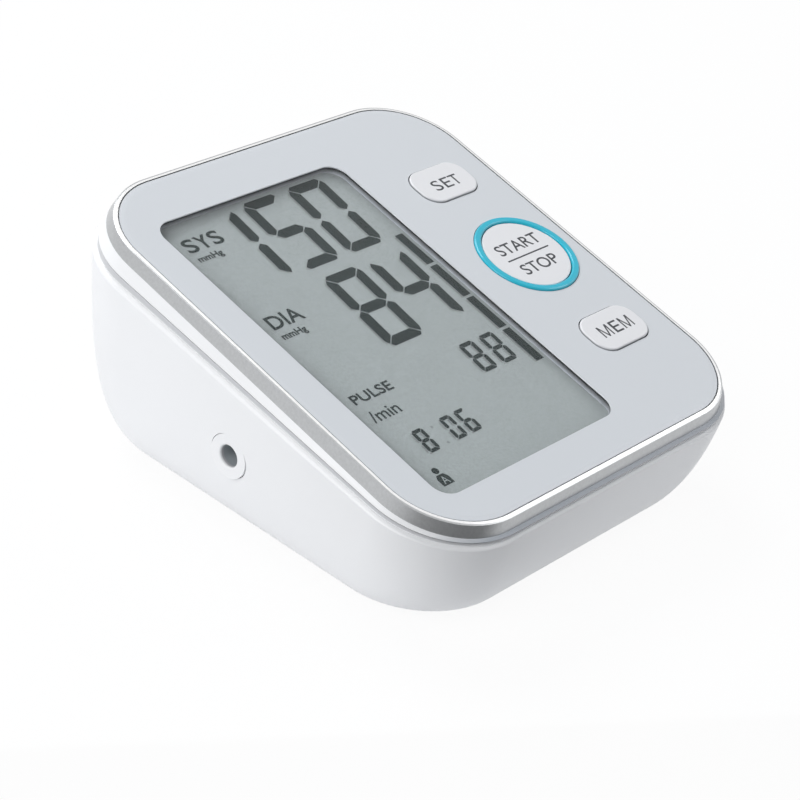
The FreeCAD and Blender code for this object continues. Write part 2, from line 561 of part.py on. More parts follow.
def lcd_holder():
    """Tray with a wall round the display cell, on four legs whose pegs pass through the board."""
    floor = HOLDER_SHELF - HOLDER_BACK
    tray = lcd_slab(FIT_GAP + HOLDER_WALL, floor, DECK_BOTTOM).cut(lcd_slab(FIT_GAP, HOLDER_SHELF, DEEP))
    slots = [block(WINDOW_X, u, ZEBRA_L + 2 * FIT_GAP, ZEBRA_W + 2 * FIT_GAP, -DEEP, LCD_BOTTOM)
             for u in zebra_places()]
    legs = [rod(LEG_R, V(x, u, BOARD_TOP), V(x, u, floor)) for x, u in leg_places()]
    pegs = [rod(PEG_R, V(x, u, BOARD_BOTTOM - PEG_R), V(x, u, floor)) for x, u in leg_places()]
    return deck(fuse([tray.cut(slots)] + legs + pegs))


# ---------------------------------------------------------------- keys

def soft_top(solid, radius):
    """Rounds the top edge of a key drawn in the deck frame."""
    top = solid.BoundBox.ZMax
    edges = [e for e in solid.Edges
             if abs(e.BoundBox.ZMin - top) < 1e-6 and abs(e.BoundBox.ZMax - top) < 1e-6]
    return solid.makeFillet(radius, edges)


def start_ring():
    ring = rod(RING_R, V(KEY_X, KEY_U, -PANEL_T), V(KEY_X, KEY_U, RING_RISE)).cut(start_hole(RING_IN_R))
    return deck(soft_top(ring, RING_EDGE))


def start_button():
    low = DECK_BOTTOM - FLANGE_GAP
    cap = soft_top(rod(START_R, V(KEY_X, KEY_U, low), V(KEY_X, KEY_U, START_RISE)), START_EDGE)
    flange = rod(START_R + FLANGE_OUT, V(KEY_X, KEY_U, low - FLANGE_T), V(KEY_X, KEY_U, low))
    return deck(fuse([cap, flange]))


def small_button(u):
    cap = soft_top(key_slab(u, 0.0, DECK_BOTTOM - FLANGE_GAP, KEY_RISE), KEY_EDGE)
    flange = key_slab(u, FLANGE_OUT, DECK_BOTTOM - FLANGE_GAP - FLANGE_T, DECK_BOTTOM - FLANGE_GAP)
    return deck(fuse([cap, flange]))


FLANGE_BOTTOM = DECK_BOTTOM - FLANGE_GAP - FLANGE_T


def switch_places():
    return [KEY_U, KEY_U + KEY_PITCH, KEY_U - KEY_PITCH]


def tact_switches():
    """Three switch housings, each with a well for its plunger."""
    housings = []
    for u in switch_places():
        top = BOARD_TOP + SWITCH_H
        bottom = top - PLUNGER_SINK - KEY_TRAVEL - FIT_GAP
        well = rod(PLUNGER_R + SHAFT_GAP, V(KEY_X, u, bottom), V(KEY_X, u, top))
        housings.append(block(KEY_X, u, SWITCH_W, SWITCH_W, BOARD_TOP, top).cut(well))
    return deck(Part.makeCompound(housings))


def switch_plunger(u):
    top = BOARD_TOP + SWITCH_H
    return deck(rod(PLUNGER_R, V(KEY_X, u, top - PLUNGER_SINK), V(KEY_X, u, FLANGE_BOTTOM)))


# ---------------------------------------------------------------- board

def main_board():
    board = slab(BOARD_W, BOARD_BACK - BOARD_FRONT, BOARD_R, BOARD_BOTTOM, BOARD_TOP, 0,
                 (BOARD_BACK + BOARD_FRONT) / 2)
    holes = [rod(BOARD_HOLE_R, V(x, u, BOARD_BOTTOM), V(x, u, BOARD_TOP)) for x, u in BOARD_SCREWS]
    holes += [rod(PEG_R + PEG_GAP, V(x, u, BOARD_BOTTOM), V(x, u, BOARD_TOP)) for x, u in leg_places()]
    posts = [rod(POST_R + POST_GAP, V(x, y, SPLIT_Z), V(x, y, CASE_TOP_Z)) for x, y in screw_places()]
    return cut(deck(board.cut(holes)), posts)


def board_screws():
    """Pan-head screws, each a head under the board and a shank up into its boss."""
    screws = []
    for x, u in BOARD_SCREWS:
        head = rod(BOARD_HEAD_R, V(x, u, BOARD_BOTTOM - BOARD_HEAD_H), V(x, u, BOARD_BOTTOM))
        shank = rod(BOARD_SCREW_R, V(x, u, BOARD_BOTTOM), V(x, u, BOARD_TOP + BOARD_SCREW_L - 1))
        screws.append(fuse([head, shank]))
    return deck(Part.makeCompound(screws))


def under_board(at, width, length, height):
    return block(at[0], at[1], width, length, BOARD_BOTTOM - height, BOARD_BOTTOM)


def control_chip():
    return deck(under_board(CHIP_AT, CHIP_W, CHIP_W, CHIP_T))


def clock_crystal():
    return deck(under_board(CRYSTAL_AT, CRYSTAL_W, CRYSTAL_L, CRYSTAL_T))


def board_capacitors():
    cans = [rod(CAP_R, V(x, u, BOARD_BOTTOM - CAP_H), V(x, u, BOARD_BOTTOM)) for x, u in CAP_SPOTS]
    return deck(Part.makeCompound(cans))


def piezo_buzzer():
    x, u = BUZZER_AT
    low = V(x, u, BOARD_BOTTOM - BUZZER_H)
    body = rod(BUZZER_R, low, V(x, u, BOARD_BOTTOM))
    return deck(body.cut(rod(BUZZER_HOLE_R, low, low + V(0, 0, BUZZER_H / 2))))


def plug_places():
    """Where the leads end under the board, with each socket's size: cells, adapter, valve, pump."""
    spots = [(x, BAY_BACK_Y - PLATE_T / 2, PLUG_W, PLUG_L) for x in tab_places()]
    spots += [(DC_RIB_X, DC_Y, PLUG_W, PLUG_L), (LINE_X, VALVE_LEAD_Y, PLUG_W, PLUG_L)]
    return spots + [(tag_x(), PUMP_Y, PLUG_L, PLUG_W)]


def board_height(y):
    """Height of the board's underside over a place in the part frame."""
    return DECK_Z + (y - DECK_Y) * tan(TILT) + BOARD_BOTTOM / cos(TILT)


def plug_bottom(y):
    return board_height(y) - PLUG_H / cos(TILT)


def board_connectors():
    """Lead sockets on the underside, one over each set of leads."""
    sockets = []
    for x, y, width, length in plug_places():
        at = to_deck(V(x, y, plug_bottom(y)))
        sockets.append(under_board((at.x, at.y), width, length, PLUG_H))
    return deck(Part.makeCompound(sockets))


# ---------------------------------------------------------------- battery bay

def cell_places():
    return [(i - (CELLS - 1) / 2) * CELL_PITCH for i in range(CELLS)]


def tab_places():
    places = cell_places()
    return [places[0], places[-1]]


def batteries():
    """AA cells with their noses to the back and the front in turn."""
    cells = []
    for i, x in enumerate(cell_places()):
        way = 1 if i % 2 == 0 else -1
        nose = BAY_Y + way * (BAY_L / 2 - PLATE_T - PLATE_GAP)
        neck = nose - way * NUB_L
        tail = neck - way * CELL_L
        cells.append(fuse([rod(CELL_R, V(x, neck, CELL_Z), V(x, tail, CELL_Z)),
                           rod(NUB_R, V(x, neck, CELL_Z), V(x, nose, CELL_Z))]))
    return Part.makeCompound(cells)


def battery_springs():
    """A coil spring at each cell's flat end, against the contact plate."""
    coil_h = SPRING_L - 2 * SPRING_WIRE_R
    springs = []
    for i, x in enumerate(cell_places()):
        way = -1 if i % 2 == 0 else 1
        wall = BAY_Y + way * (BAY_L / 2 - PLATE_T - PLATE_GAP)
        spring = coil(SPRING_R, SPRING_WIRE_R, SPRING_PITCH, coil_h)
        spring.Placement = FreeCAD.Placement(V(x, wall - way * SPRING_WIRE_R, CELL_Z),
                                             FreeCAD.Rotation(V(0, 0, 1), V(0, -way, 0)))
        springs.append(spring)
    return Part.makeCompound(springs)


def coil(radius, wire, pitch, height):
    """Coil spring from z = 0 to height at the wire's centre. The wire has an eight-sided section."""
    path = Part.Wire(Part.makeHelix(pitch, height, radius).Edges)
    corners = [V(radius + wire * cos(a), 0, wire * sin(a)) for a in range(0, 361, 45)]
    return Part.Solid(path.makePipeShell([Part.makePolygon(corners)], True, True))


def battery_plates():
    """Contact plates: linked pairs in front, and at the back two singles with tabs and a linked pair."""
    half = PLATE_W / 2
    places = cell_places()
    runs = [(places[0], places[1], -1), (places[2], places[3], -1), (places[1], places[2], 1)]
    runs += [(x, x, 1) for x in tab_places()]
    plates = []
    for x0, x1, way in runs:
        wall = BAY_Y + way * BAY_L / 2
        y0, y1 = sorted((wall, wall - way * PLATE_T))
        plate = box(x0 - half, x1 + half, y0, y1, CELL_Z - PLATE_H / 2, CELL_Z + PLATE_H / 2)
        if x0 == x1:
            tab = block(x0, (y0 + y1) / 2, TAB_W, PLATE_T, CELL_Z, BAY_TOP_Z + BAY_ROOF + TAB_H)
            plate = fuse([plate, tab])
        plates.append(plate)
    return Part.makeCompound(plates)


def battery_door():
    """Flush door with two hooks at its back edge, between cells, and a sprung latch tongue in front."""
    width = BAY_W + 2 * (DOOR_LAP - DOOR_GAP)
    length = BAY_L + 2 * (DOOR_LAP - DOOR_GAP)
    plate = slab(width, length, DOOR_R - DOOR_GAP, FOOT_H, DOOR_TOP_Z, 0, BAY_Y)
    front = BAY_Y - length / 2
    back = BAY_Y + length / 2
    low = FLOOR_Z + HOOK_LIFT
    hooks = []
    for side in (-1, 1):
        x = side * CELL_PITCH
        x0, x1 = x - HOOK_W / 2, x + HOOK_W / 2
        hooks.append(box(x0, x1, back - HOOK_ROOT, back, FOOT_H, low + HOOK_T))
        hooks.append(box(x0, x1, back - HOOK_ROOT, back + HOOK_REACH, low, low + HOOK_T))
    ribs = [block((i - (DOOR_RIBS - 1) / 2) * CELL_PITCH, BAY_Y, DOOR_RIB_W, DOOR_RIB_L, DOOR_TOP_Z,
                  DOOR_TOP_Z + DOOR_RIB_T) for i in range(DOOR_RIBS)]
    door = fuse([plate] + hooks + ribs)
    slits = [box(side * LATCH_W / 2 - LATCH_SLIT / 2, side * LATCH_W / 2 + LATCH_SLIT / 2,
                 front - 1, front + LATCH_L, 0, FLOOR_Z) for side in (-1, 1)]
    thin = block(0, front + LATCH_L / 2, LATCH_W, LATCH_L + 2, FOOT_H + LATCH_T, FLOOR_Z)
    grip = block(0, front + GRIP_L / 2 + GRIP_EDGE, GRIP_W, GRIP_L, 0, FOOT_H + GRIP_DEPTH)
    return cut(door, slits + [thin, grip])


# ---------------------------------------------------------------- air path

def nozzle(start, end):
    return rod(NOZZLE_R, start, end)


def air_jack():
    """Socket body in the wall, behind its cap, with an inner flange and a nozzle that turns to the back."""
    mouth, end = V(-BIG, JACK_Y, AIR_Z), V(LINE_X + JACK_BODY_END, JACK_Y, AIR_Z)
    front = rod(JACK_R, V(seal_face_x(), JACK_Y, AIR_Z), V(LINE_X - JACK_BODY_R, JACK_Y, AIR_Z))
    flange = rod(JACK_FLANGE_R, mouth, V(-CASE_HALF_W + 2 * WALL + JACK_FLANGE_T, JACK_Y, AIR_Z)).common(
        case_solid(WALL + SHAFT_GAP, FLOOR))
    body = rod(JACK_BODY_R, V(-CASE_HALF_W + 2 * WALL, JACK_Y, AIR_Z), end)
    spout = nozzle(V(LINE_X, JACK_Y, AIR_Z), V(LINE_X, jack_nozzle_end(), AIR_Z))
    well_end = V(seal_face_x() + SEAL_L, JACK_Y, AIR_Z)
    bores = [rod(JACK_WELL_R, mouth, well_end), rod(NOZZLE_BORE_R, mouth, V(LINE_X, JACK_Y, AIR_Z)),
             rod(NOZZLE_BORE_R, V(LINE_X, JACK_Y, AIR_Z), V(LINE_X, BIG, AIR_Z))]
    return cut(fuse([front, flange, body, spout]), bores)


def jack_nozzle_end():
    return JACK_Y + JACK_BODY_R + NOZZLE_L


def jack_face_x():
    """The socket's face, sunk below the wall's outer face."""
    reach = rod(SHAFT_R, V(-BIG, JACK_Y, AIR_Z), V(0, JACK_Y, AIR_Z)).common(CASE_SOLID)
    return reach.BoundBox.XMin + JACK_SINK


def seal_face_x():
    """The seal's outer end, against the back of the cap."""
    return jack_face_x() + JACK_CAP_T


def jack_cap():
    """Round face plate that holds the seal in the socket, with a rounded mouth."""
    face, back = V(jack_face_x(), JACK_Y, AIR_Z), V(seal_face_x(), JACK_Y, AIR_Z)
    plate = pipe_piece(JACK_R, SEAL_R, face, back)
    mouth = [e for e in plate.Edges
             if e.BoundBox.XMax < face.x + 1e-6 and e.BoundBox.YLength < JACK_R + SEAL_R]
    return plate.makeFillet(JACK_CAP_EDGE, mouth)


def jack_seal():
    start = V(seal_face_x(), JACK_Y, AIR_Z)
    return pipe_piece(JACK_WELL_R, SEAL_R, start, start + V(SEAL_L, 0, 0))


def air_manifold():
    """Four-way fitting: socket in front, valve behind, pump to the right and sensor above."""
    centre = V(LINE_X, MANIFOLD_Y, AIR_Z)
    reach = MANIFOLD_R + NOZZLE_L
    top = MANIFOLD_R + MANIFOLD_TOP_NOZZLE_L
    ends = [centre + V(0, -reach, 0), centre + V(0, reach, 0), centre + V(reach, 0, 0), centre + V(0, 0, top)]
    body = Part.makeSphere(MANIFOLD_R, centre)
    return cut(fuse([body] + [nozzle(centre, e) for e in ends]),
               [rod(NOZZLE_BORE_R, centre, e + (e - centre)) for e in ends])


def rounded_path(points):
    """Straight runs joined by tangent arcs, each as large as the runs beside it allow."""
    edges = []
    start = points[0]
    for before, corner, after in zip(points, points[1:], points[2:]):
        back, ahead = before - corner, after - corner
        reach = ARC_SHARE * min(back.Length, ahead.Length)
        half = back.getAngle(ahead) / 2
        back.normalize()
        ahead.normalize()
        middle = (back + ahead).normalize()
        radius = reach * math.tan(half)
        centre = corner + middle * (reach / math.cos(half))
        first, last = corner + back * reach, corner + ahead * reach
        edges.append(Part.LineSegment(start, first).toShape())
        edges.append(Part.Arc(first, centre - middle * radius, last).toShape())
        start = last
    edges.append(Part.LineSegment(start, points[-1]).toShape())
    return Part.Wire(edges)


def swept(points, radius):
    if len(points) == 2:
        return rod(radius, points[0], points[1])
    profile = Part.Wire(Part.makeCircle(radius, points[0], points[1] - points[0]))
    return Part.Solid(rounded_path(points).makePipeShell([profile], True, False))


def hose(points):
    return swept(points, HOSE_R).cut(swept(points, HOSE_BORE_R))


def jack_hose():
    start = JACK_Y + JACK_BODY_R + HOSE_END_GAP
    return hose([V(LINE_X, start, AIR_Z), V(LINE_X, MANIFOLD_Y - MANIFOLD_R - HOSE_END_GAP, AIR_Z)])


def valve_hose():
    return hose([V(LINE_X, MANIFOLD_Y + MANIFOLD_R + HOSE_END_GAP, AIR_Z),
                 V(LINE_X, VALVE_Y - HOSE_END_GAP, AIR_Z)])


def pump_hose():
    """From the pump's nozzle round to the manifold's side nozzle."""
    side_x = (LINE_X + VALVE_W / 2 + PUMP_X - NOZZLE_L) / 2
    return hose([V(PUMP_X - HOSE_END_GAP, PUMP_Y, AIR_Z), V(side_x, PUMP_Y, AIR_Z),
                 V(side_x, MANIFOLD_Y, AIR_Z), V(LINE_X + MANIFOLD_R + HOSE_END_GAP, MANIFOLD_Y, AIR_Z)])


def sensor_foot():
    """Deck position where the sensor's axis meets the board, and the bend under it."""
    bend = V(LINE_X, MANIFOLD_Y, AIR_Z + SENSOR_BEND_RISE)
    return bend, to_deck(bend)


def pressure_sensor():
    at = sensor_foot()[1]
    body = under_board((at.x, at.y), SENSOR_W, SENSOR_L, SENSOR_T)
    base = V(at.x, at.y, BOARD_BOTTOM - SENSOR_T)
    tip = base - V(0, 0, SENSOR_NOZZLE_L)
    return deck(fuse([body, nozzle(tip, base)]).cut(rod(NOZZLE_BORE_R, tip, base)))


def sensor_hose():
    bend, at = sensor_foot()
    start = V(LINE_X, MANIFOLD_Y, AIR_Z + MANIFOLD_R + HOSE_END_GAP)
    end = bend + OUT * (BOARD_BOTTOM - SENSOR_T - HOSE_END_GAP - at.z)
    return hose([start, bend, end])


# ---------------------------------------------------------------- pump

def on_axis(x):
    return V(x, PUMP_Y, AIR_Z)


def pump_head():
    """Head with its nozzle to the left and a round chamber open to the motor's face."""
    body = rod(HEAD_R, on_axis(PUMP_X), on_axis(SHAFT_X))
    spout = nozzle(on_axis(PUMP_X - NOZZLE_L), on_axis(PUMP_X))
    chamber = rod(CHAMBER_R, on_axis(SHAFT_X - CHAMBER_L), on_axis(SHAFT_X))
    bore = rod(NOZZLE_BORE_R, on_axis(PUMP_X - NOZZLE_L), on_axis(SHAFT_X - CHAMBER_L))
    return cut(fuse([body, spout]), [chamber, bore])


def pump_motor():
    """Drawn steel can with a bearing in its face."""
    end = SHAFT_X + MOTOR_L
    can = rod(MOTOR_R, on_axis(SHAFT_X), on_axis(end))
    can = can.cut(rod(MOTOR_R - CAN_T, on_axis(SHAFT_X + CAN_T), on_axis(end)))
    bearing = rod(BEARING_R, on_axis(SHAFT_X), on_axis(SHAFT_X + BEARING_L))
    return fuse([can, bearing]).cut(rod(SHAFT_R + SHAFT_GAP, on_axis(SHAFT_X), on_axis(end)))


def pump_magnets():
    """Two arc magnets on the can's wall."""
    start = SHAFT_X + BEARING_L
    ring = pipe_piece(MOTOR_R - CAN_T, MOTOR_R - CAN_T - MAGNET_T, on_axis(start), on_axis(start + MAGNET_L))
    split = block(start + MAGNET_L / 2, PUMP_Y, MAGNET_L, 2 * MOTOR_R, AIR_Z - MAGNET_SPLIT,
                  AIR_Z + MAGNET_SPLIT)
    return Part.makeCompound(ring.cut(split).Solids)


def pump_armature():
    """Wound core and commutator, pressed on the shaft."""
    start = SHAFT_X + ARMATURE_START
    core = pipe_piece(ARMATURE_R, SHAFT_R, on_axis(start), on_axis(start + ARMATURE_L))
    ahead = start + ARMATURE_L
    return fuse([core, pipe_piece(COMMUTATOR_R, SHAFT_R, on_axis(ahead), on_axis(ahead + COMMUTATOR_L))])


def tag_x():
    return SHAFT_X + MOTOR_L + MOTOR_CAP_L + TERMINAL_L / 2


def pump_motor_cap():
    """Plastic end cap with two terminal tags."""
    start = SHAFT_X + MOTOR_L
    cap = rod(MOTOR_R - FIT_GAP, on_axis(start), on_axis(start + MOTOR_CAP_L))
    cap = cap.cut(rod(SHAFT_R + SHAFT_GAP, on_axis(start), on_axis(start + SHAFT_TAIL + SHAFT_GAP)))
    tags = [block(tag_x(), PUMP_Y + side * TERMINAL_AT, TERMINAL_L, TERMINAL_W,
                  AIR_Z - TERMINAL_T / 2, AIR_Z + TERMINAL_T / 2) for side in (-1, 1)]
    return fuse([cap] + tags)


def pump_sleeve():
    start = SHAFT_X + SLEEVE_START
    return pipe_piece(MOTOR_R + SLEEVE_T, MOTOR_R, on_axis(start), on_axis(start + SLEEVE_L))


def pump_shaft():
    """Motor shaft with a crank disc and an off-centre pin, which hangs lowest at rest."""
    face = SHAFT_X - CRANK_GAP
    shaft = rod(SHAFT_R, on_axis(face), on_axis(SHAFT_X + MOTOR_L + SHAFT_TAIL))
    disc = rod(CRANK_R, on_axis(face - CRANK_T), on_axis(face))
    drop = V(0, 0, -CRANK_PIN_AT)
    pin = rod(CRANK_PIN_R, on_axis(face - CRANK_T - CRANK_PIN_L) + drop, on_axis(face - CRANK_T) + drop)
    return fuse([shaft, disc, pin])


def cup_spots(x):
    return [on_axis(x) + V(0, CUP_AT * sin(a), CUP_AT * cos(a)) for a in
            (360.0 / CUPS * i for i in range(CUPS))]


def pump_diaphragm():
    start = SHAFT_X - CHAMBER_L
    disc = rod(CHAMBER_R - FIT_GAP, on_axis(start), on_axis(start + DIAPHRAGM_T))
    cups = [rod(CUP_R, p, p + V(CUP_H, 0, 0)) for p in cup_spots(start + DIAPHRAGM_T)]
    return fuse([disc] + cups)


def pump_wobble_plate():
    """Plate on the diaphragm's cups, with a wide hub round the crank pin's circle."""
    start = SHAFT_X - CHAMBER_L + DIAPHRAGM_T + CUP_H
    disc = rod(WOBBLE_R, on_axis(start), on_axis(start + WOBBLE_T))
    hub = pipe_piece(HUB_R, HUB_BORE_R, on_axis(start + WOBBLE_T), on_axis(start + WOBBLE_T + HUB_L))
    return fuse([disc, hub])


# ---------------------------------------------------------------- release valve

def along_line(y):
    return V(LINE_X, y, AIR_Z)


def valve_body():
    """Nozzle block and thin core tube of one moulding."""
    y = VALVE_Y
    front = box(LINE_X - VALVE_W / 2, LINE_X + VALVE_W / 2, y, y + VALVE_BLOCK_L, AIR_Z - VALVE_H / 2,
                AIR_Z + VALVE_H / 2)
    core = rod(CORE_R + CORE_T, along_line(y), along_line(y + VALVE_BLOCK_L + VALVE_COIL_L))
    spout = nozzle(along_line(VALVE_TIP_Y), along_line(y))
    room = rod(CORE_R + PLUNGER_GAP, along_line(y + VALVE_BLOCK_L / 2), along_line(y + BIG))
    bore = rod(NOZZLE_BORE_R / 2, along_line(VALVE_TIP_Y), along_line(y + VALVE_BLOCK_L))
    return cut(fuse([front, core, spout]), [room, bore])


def valve_coil():
    y = VALVE_Y + VALVE_BLOCK_L
    outer = VALVE_H / 2 - YOKE_T - FIT_GAP
    return pipe_piece(outer, CORE_R + CORE_T, along_line(y), along_line(y + VALVE_COIL_L))


def valve_yoke():
    """Bent steel yoke over and behind the coil."""
    y0 = VALVE_Y + VALVE_BLOCK_L
    y1 = y0 + VALVE_COIL_L
    low, high = AIR_Z - VALVE_H / 2, AIR_Z + VALVE_H / 2
    half = VALVE_W / 2
    back = box(LINE_X - half, LINE_X + half, y1, y1 + YOKE_T, low, high)
    plates = [box(LINE_X - half, LINE_X + half, y0, y1, z, z + YOKE_T) for z in (low, high - YOKE_T)]
    return fuse([back] + plates)


def valve_plunger():
    """Steel plunger at rest against the yoke, with a nose that closes the bore when it is driven."""
    rest = VALVE_Y + VALVE_BLOCK_L + VALVE_COIL_L - SHAFT_GAP
    shoulder_y = rest - PLUNGER_L
    return fuse([rod(CORE_R, along_line(shoulder_y), along_line(rest)),
                 rod(PLUNGER_NOSE_R, along_line(shoulder_y - PLUNGER_NOSE_L), along_line(shoulder_y))])


def valve_spring():
    """Spring round the plunger's nose, drawn at its driven length."""
    spring = coil(CORE_R - 2 * VALVE_SPRING_WIRE_R, VALVE_SPRING_WIRE_R, VALVE_SPRING_PITCH, VALVE_SPRING_L)
    rest = VALVE_Y + VALVE_BLOCK_L + VALVE_COIL_L - SHAFT_GAP - PLUNGER_L
    foot = rest - VALVE_TRAVEL - VALVE_SPRING_L - 2 * VALVE_SPRING_WIRE_R
    spring.Placement = FreeCAD.Placement(along_line(foot), FreeCAD.Rotation(V(0, 0, 1), V(0, 1, 0)))
    return spring


# ---------------------------------------------------------------- adapter socket, feet, screws, leads

def dc_inlet():
    """Moulded socket with its round nose flush in the right wall."""
    end = CASE_HALF_W - DC_L
    nose = rod(DC_R, V(end, DC_Y, DC_Z), V(BIG, DC_Y, DC_Z)).common(CASE_SOLID)
    body = box(end, DC_RIB_X + DC_RIB_T, DC_Y - DC_W / 2, DC_Y + DC_W / 2, DC_Z - DC_H / 2, DC_Z + DC_H / 2)
    face = nose.BoundBox.XMax
    bore = rod(DC_BORE_R, V(face - DC_DEPTH, DC_Y, DC_Z), V(BIG, DC_Y, DC_Z))
    pin = rod(DC_PIN_R, V(face - DC_DEPTH, DC_Y, DC_Z), V(face - DC_SINK, DC_Y, DC_Z))
    return fuse([fuse([nose, body]).cut(bore), pin])


def rubber_feet():
    feet = [rod(FOOT_R, V(x, y, 0), V(x, y, FOOT_H + FOOT_SINK)) for x, y in foot_places()]
    return Part.makeCompound(feet)


def case_screws():
    """Two screws up through the lower posts, each with a cross recess in its head."""
    screws = []
    for x, y in screw_places():
        head = rod(SCREW_HEAD_R, V(x, y, SEAT_Z - SCREW_HEAD_H), V(x, y, SEAT_Z))
        shank = rod(SCREW_R, V(x, y, SEAT_Z), V(x, y, SEAT_Z + SCREW_L))
        low, high = SEAT_Z - SCREW_HEAD_H, SEAT_Z - SCREW_HEAD_H + CROSS_DEPTH
        cross = [block(x, y, 2 * CROSS_R, CROSS_W, low, high), block(x, y, CROSS_W, 2 * CROSS_R, low, high)]
        screws.append(cut(fuse([head, shank]), cross))
    return Part.makeCompound(screws)


def lead(points):
    return swept(points, WIRE_R)


def upright_leads(x, y, low, pair):
    """Leads straight up from a terminal to the socket over it: two side by side, or one."""
    offsets = (-LEAD_PITCH / 2, LEAD_PITCH / 2) if pair else (0.0,)
    high = plug_bottom(y) - WIRE_END_GAP
    return [lead([V(x + dx, y, low), V(x + dx, y, high)]) for dx in offsets]


def battery_leads():
    top = BAY_TOP_Z + BAY_ROOF + TAB_H
    y = BAY_BACK_Y - PLATE_T / 2
    return Part.makeCompound([w for x in tab_places() for w in upright_leads(x, y, top, False)])


def adapter_leads():
    return Part.makeCompound(upright_leads(DC_RIB_X, DC_Y, DC_Z + DC_H / 2, True))


def valve_leads():
    return Part.makeCompound(upright_leads(LINE_X, VALVE_LEAD_Y, AIR_Z + VALVE_H / 2, True))


def pump_leads():
    """Straight up from the motor's tags."""
    wires = []
    for y in (PUMP_Y - TERMINAL_AT, PUMP_Y + TERMINAL_AT):
        high = plug_bottom(y) - WIRE_END_GAP
        wires.append(lead([V(tag_x(), y, AIR_Z + TERMINAL_T / 2), V(tag_x(), y, high)]))
    return Part.makeCompound(wires)


NODES = {
    "lower_case": lower_case, "upper_case": upper_case, "silver_bezel": silver_bezel,
    "fascia_plate": fascia_plate, "window_lens": window_lens, "display_gasket": display_gasket,
    "lcd_glass": lcd_glass, "lcd_reflector": lcd_reflector, "lcd_holder": lcd_holder,
    "zebra_strips": zebra_strips, "start_ring": start_ring, "start_button": start_button,
    "set_button": lambda: small_button(KEY_U + KEY_PITCH),
    "mem_button": lambda: small_button(KEY_U - KEY_PITCH),
    "main_board": main_board, "tact_switches": tact_switches,
    "start_switch_plunger": lambda: switch_plunger(KEY_U),
    "set_switch_plunger": lambda: switch_plunger(KEY_U + KEY_PITCH),
    "mem_switch_plunger": lambda: switch_plunger(KEY_U - KEY_PITCH),
    "board_screws": board_screws, "control_chip": control_chip, "clock_crystal": clock_crystal,
    "board_capacitors": board_capacitors, "board_connectors": board_connectors,
    "piezo_buzzer": piezo_buzzer, "pressure_sensor": pressure_sensor,
    "batteries": batteries, "battery_springs": battery_springs, "battery_plates": battery_plates,
    "battery_door": battery_door, "air_jack": air_jack, "jack_cap": jack_cap, "jack_seal": jack_seal,
    "air_manifold": air_manifold, "jack_hose": jack_hose, "valve_hose": valve_hose,
    "pump_hose": pump_hose, "sensor_hose": sensor_hose, "pump_head": pump_head,
    "pump_motor": pump_motor, "pump_motor_cap": pump_motor_cap, "pump_sleeve": pump_sleeve,
    "pump_magnets": pump_magnets, "pump_armature": pump_armature,
    "pump_shaft": pump_shaft, "pump_diaphragm": pump_diaphragm, "pump_wobble_plate": pump_wobble_plate,
    "valve_body": valve_body, "valve_coil": valve_coil, "valve_yoke": valve_yoke,
    "valve_plunger": valve_plunger, "valve_spring": valve_spring, "dc_inlet": dc_inlet,
    "rubber_feet": rubber_feet, "case_screws": case_screws, "battery_leads": battery_leads,
    "adapter_leads": adapter_leads, "valve_leads": valve_leads, "pump_leads": pump_leads,
}


os.makedirs("parts", exist_ok=True)
for name, make in NODES.items():
    shape = make()
    shape.exportStep("parts/" + name + ".step")
    print(name, "solids", len(shape.Solids), "valid", shape.isValid(), "volume", round(shape.Volume, 1))
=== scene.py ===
import json
from math import atan2, radians

import bmesh
import bpy
from mathutils import Matrix, Vector


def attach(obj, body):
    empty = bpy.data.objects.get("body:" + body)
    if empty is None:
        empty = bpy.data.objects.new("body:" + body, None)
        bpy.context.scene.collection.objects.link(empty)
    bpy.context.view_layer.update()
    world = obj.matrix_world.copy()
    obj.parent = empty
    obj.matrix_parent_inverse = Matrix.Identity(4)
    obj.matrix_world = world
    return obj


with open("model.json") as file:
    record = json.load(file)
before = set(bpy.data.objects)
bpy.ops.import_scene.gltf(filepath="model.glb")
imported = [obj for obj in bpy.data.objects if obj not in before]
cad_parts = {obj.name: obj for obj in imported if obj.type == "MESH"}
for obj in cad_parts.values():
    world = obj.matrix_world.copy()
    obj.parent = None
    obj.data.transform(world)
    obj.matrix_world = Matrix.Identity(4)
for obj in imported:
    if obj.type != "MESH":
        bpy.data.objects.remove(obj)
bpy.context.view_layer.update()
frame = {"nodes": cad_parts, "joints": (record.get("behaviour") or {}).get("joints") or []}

nodes = frame["nodes"]


# ---- Camera -------------------------------------------------------------------------------------
# A long lens, in front of the monitor and to its left, looking down at the sloping panel.
# It is rolled a little, so that the panel's front edge runs down to the right.
LENS_LENGTH, SENSOR_WIDTH = 104.07, 36.0
CAMERA_PLACE = (-0.36458, -0.28448, 0.29238)
LINE_OF_SIGHT = Vector((0.67583, 0.52898, -0.51325))
CAMERA_ROLL = radians(8.5)
camera = bpy.data.objects.new("camera", bpy.data.cameras.new("camera"))
bpy.context.scene.collection.objects.link(camera)
camera.data.sensor_width = SENSOR_WIDTH
camera.data.lens = LENS_LENGTH
camera.data.clip_start = 0.02
camera.matrix_world = (
    Matrix.Translation(CAMERA_PLACE)
    @ LINE_OF_SIGHT.to_track_quat("-Z", "Y").to_matrix().to_4x4()
    @ Matrix.Rotation(CAMERA_ROLL, 4, "Z")
)
bpy.context.scene.camera = camera
bpy.context.scene.view_settings.view_transform = "Standard"


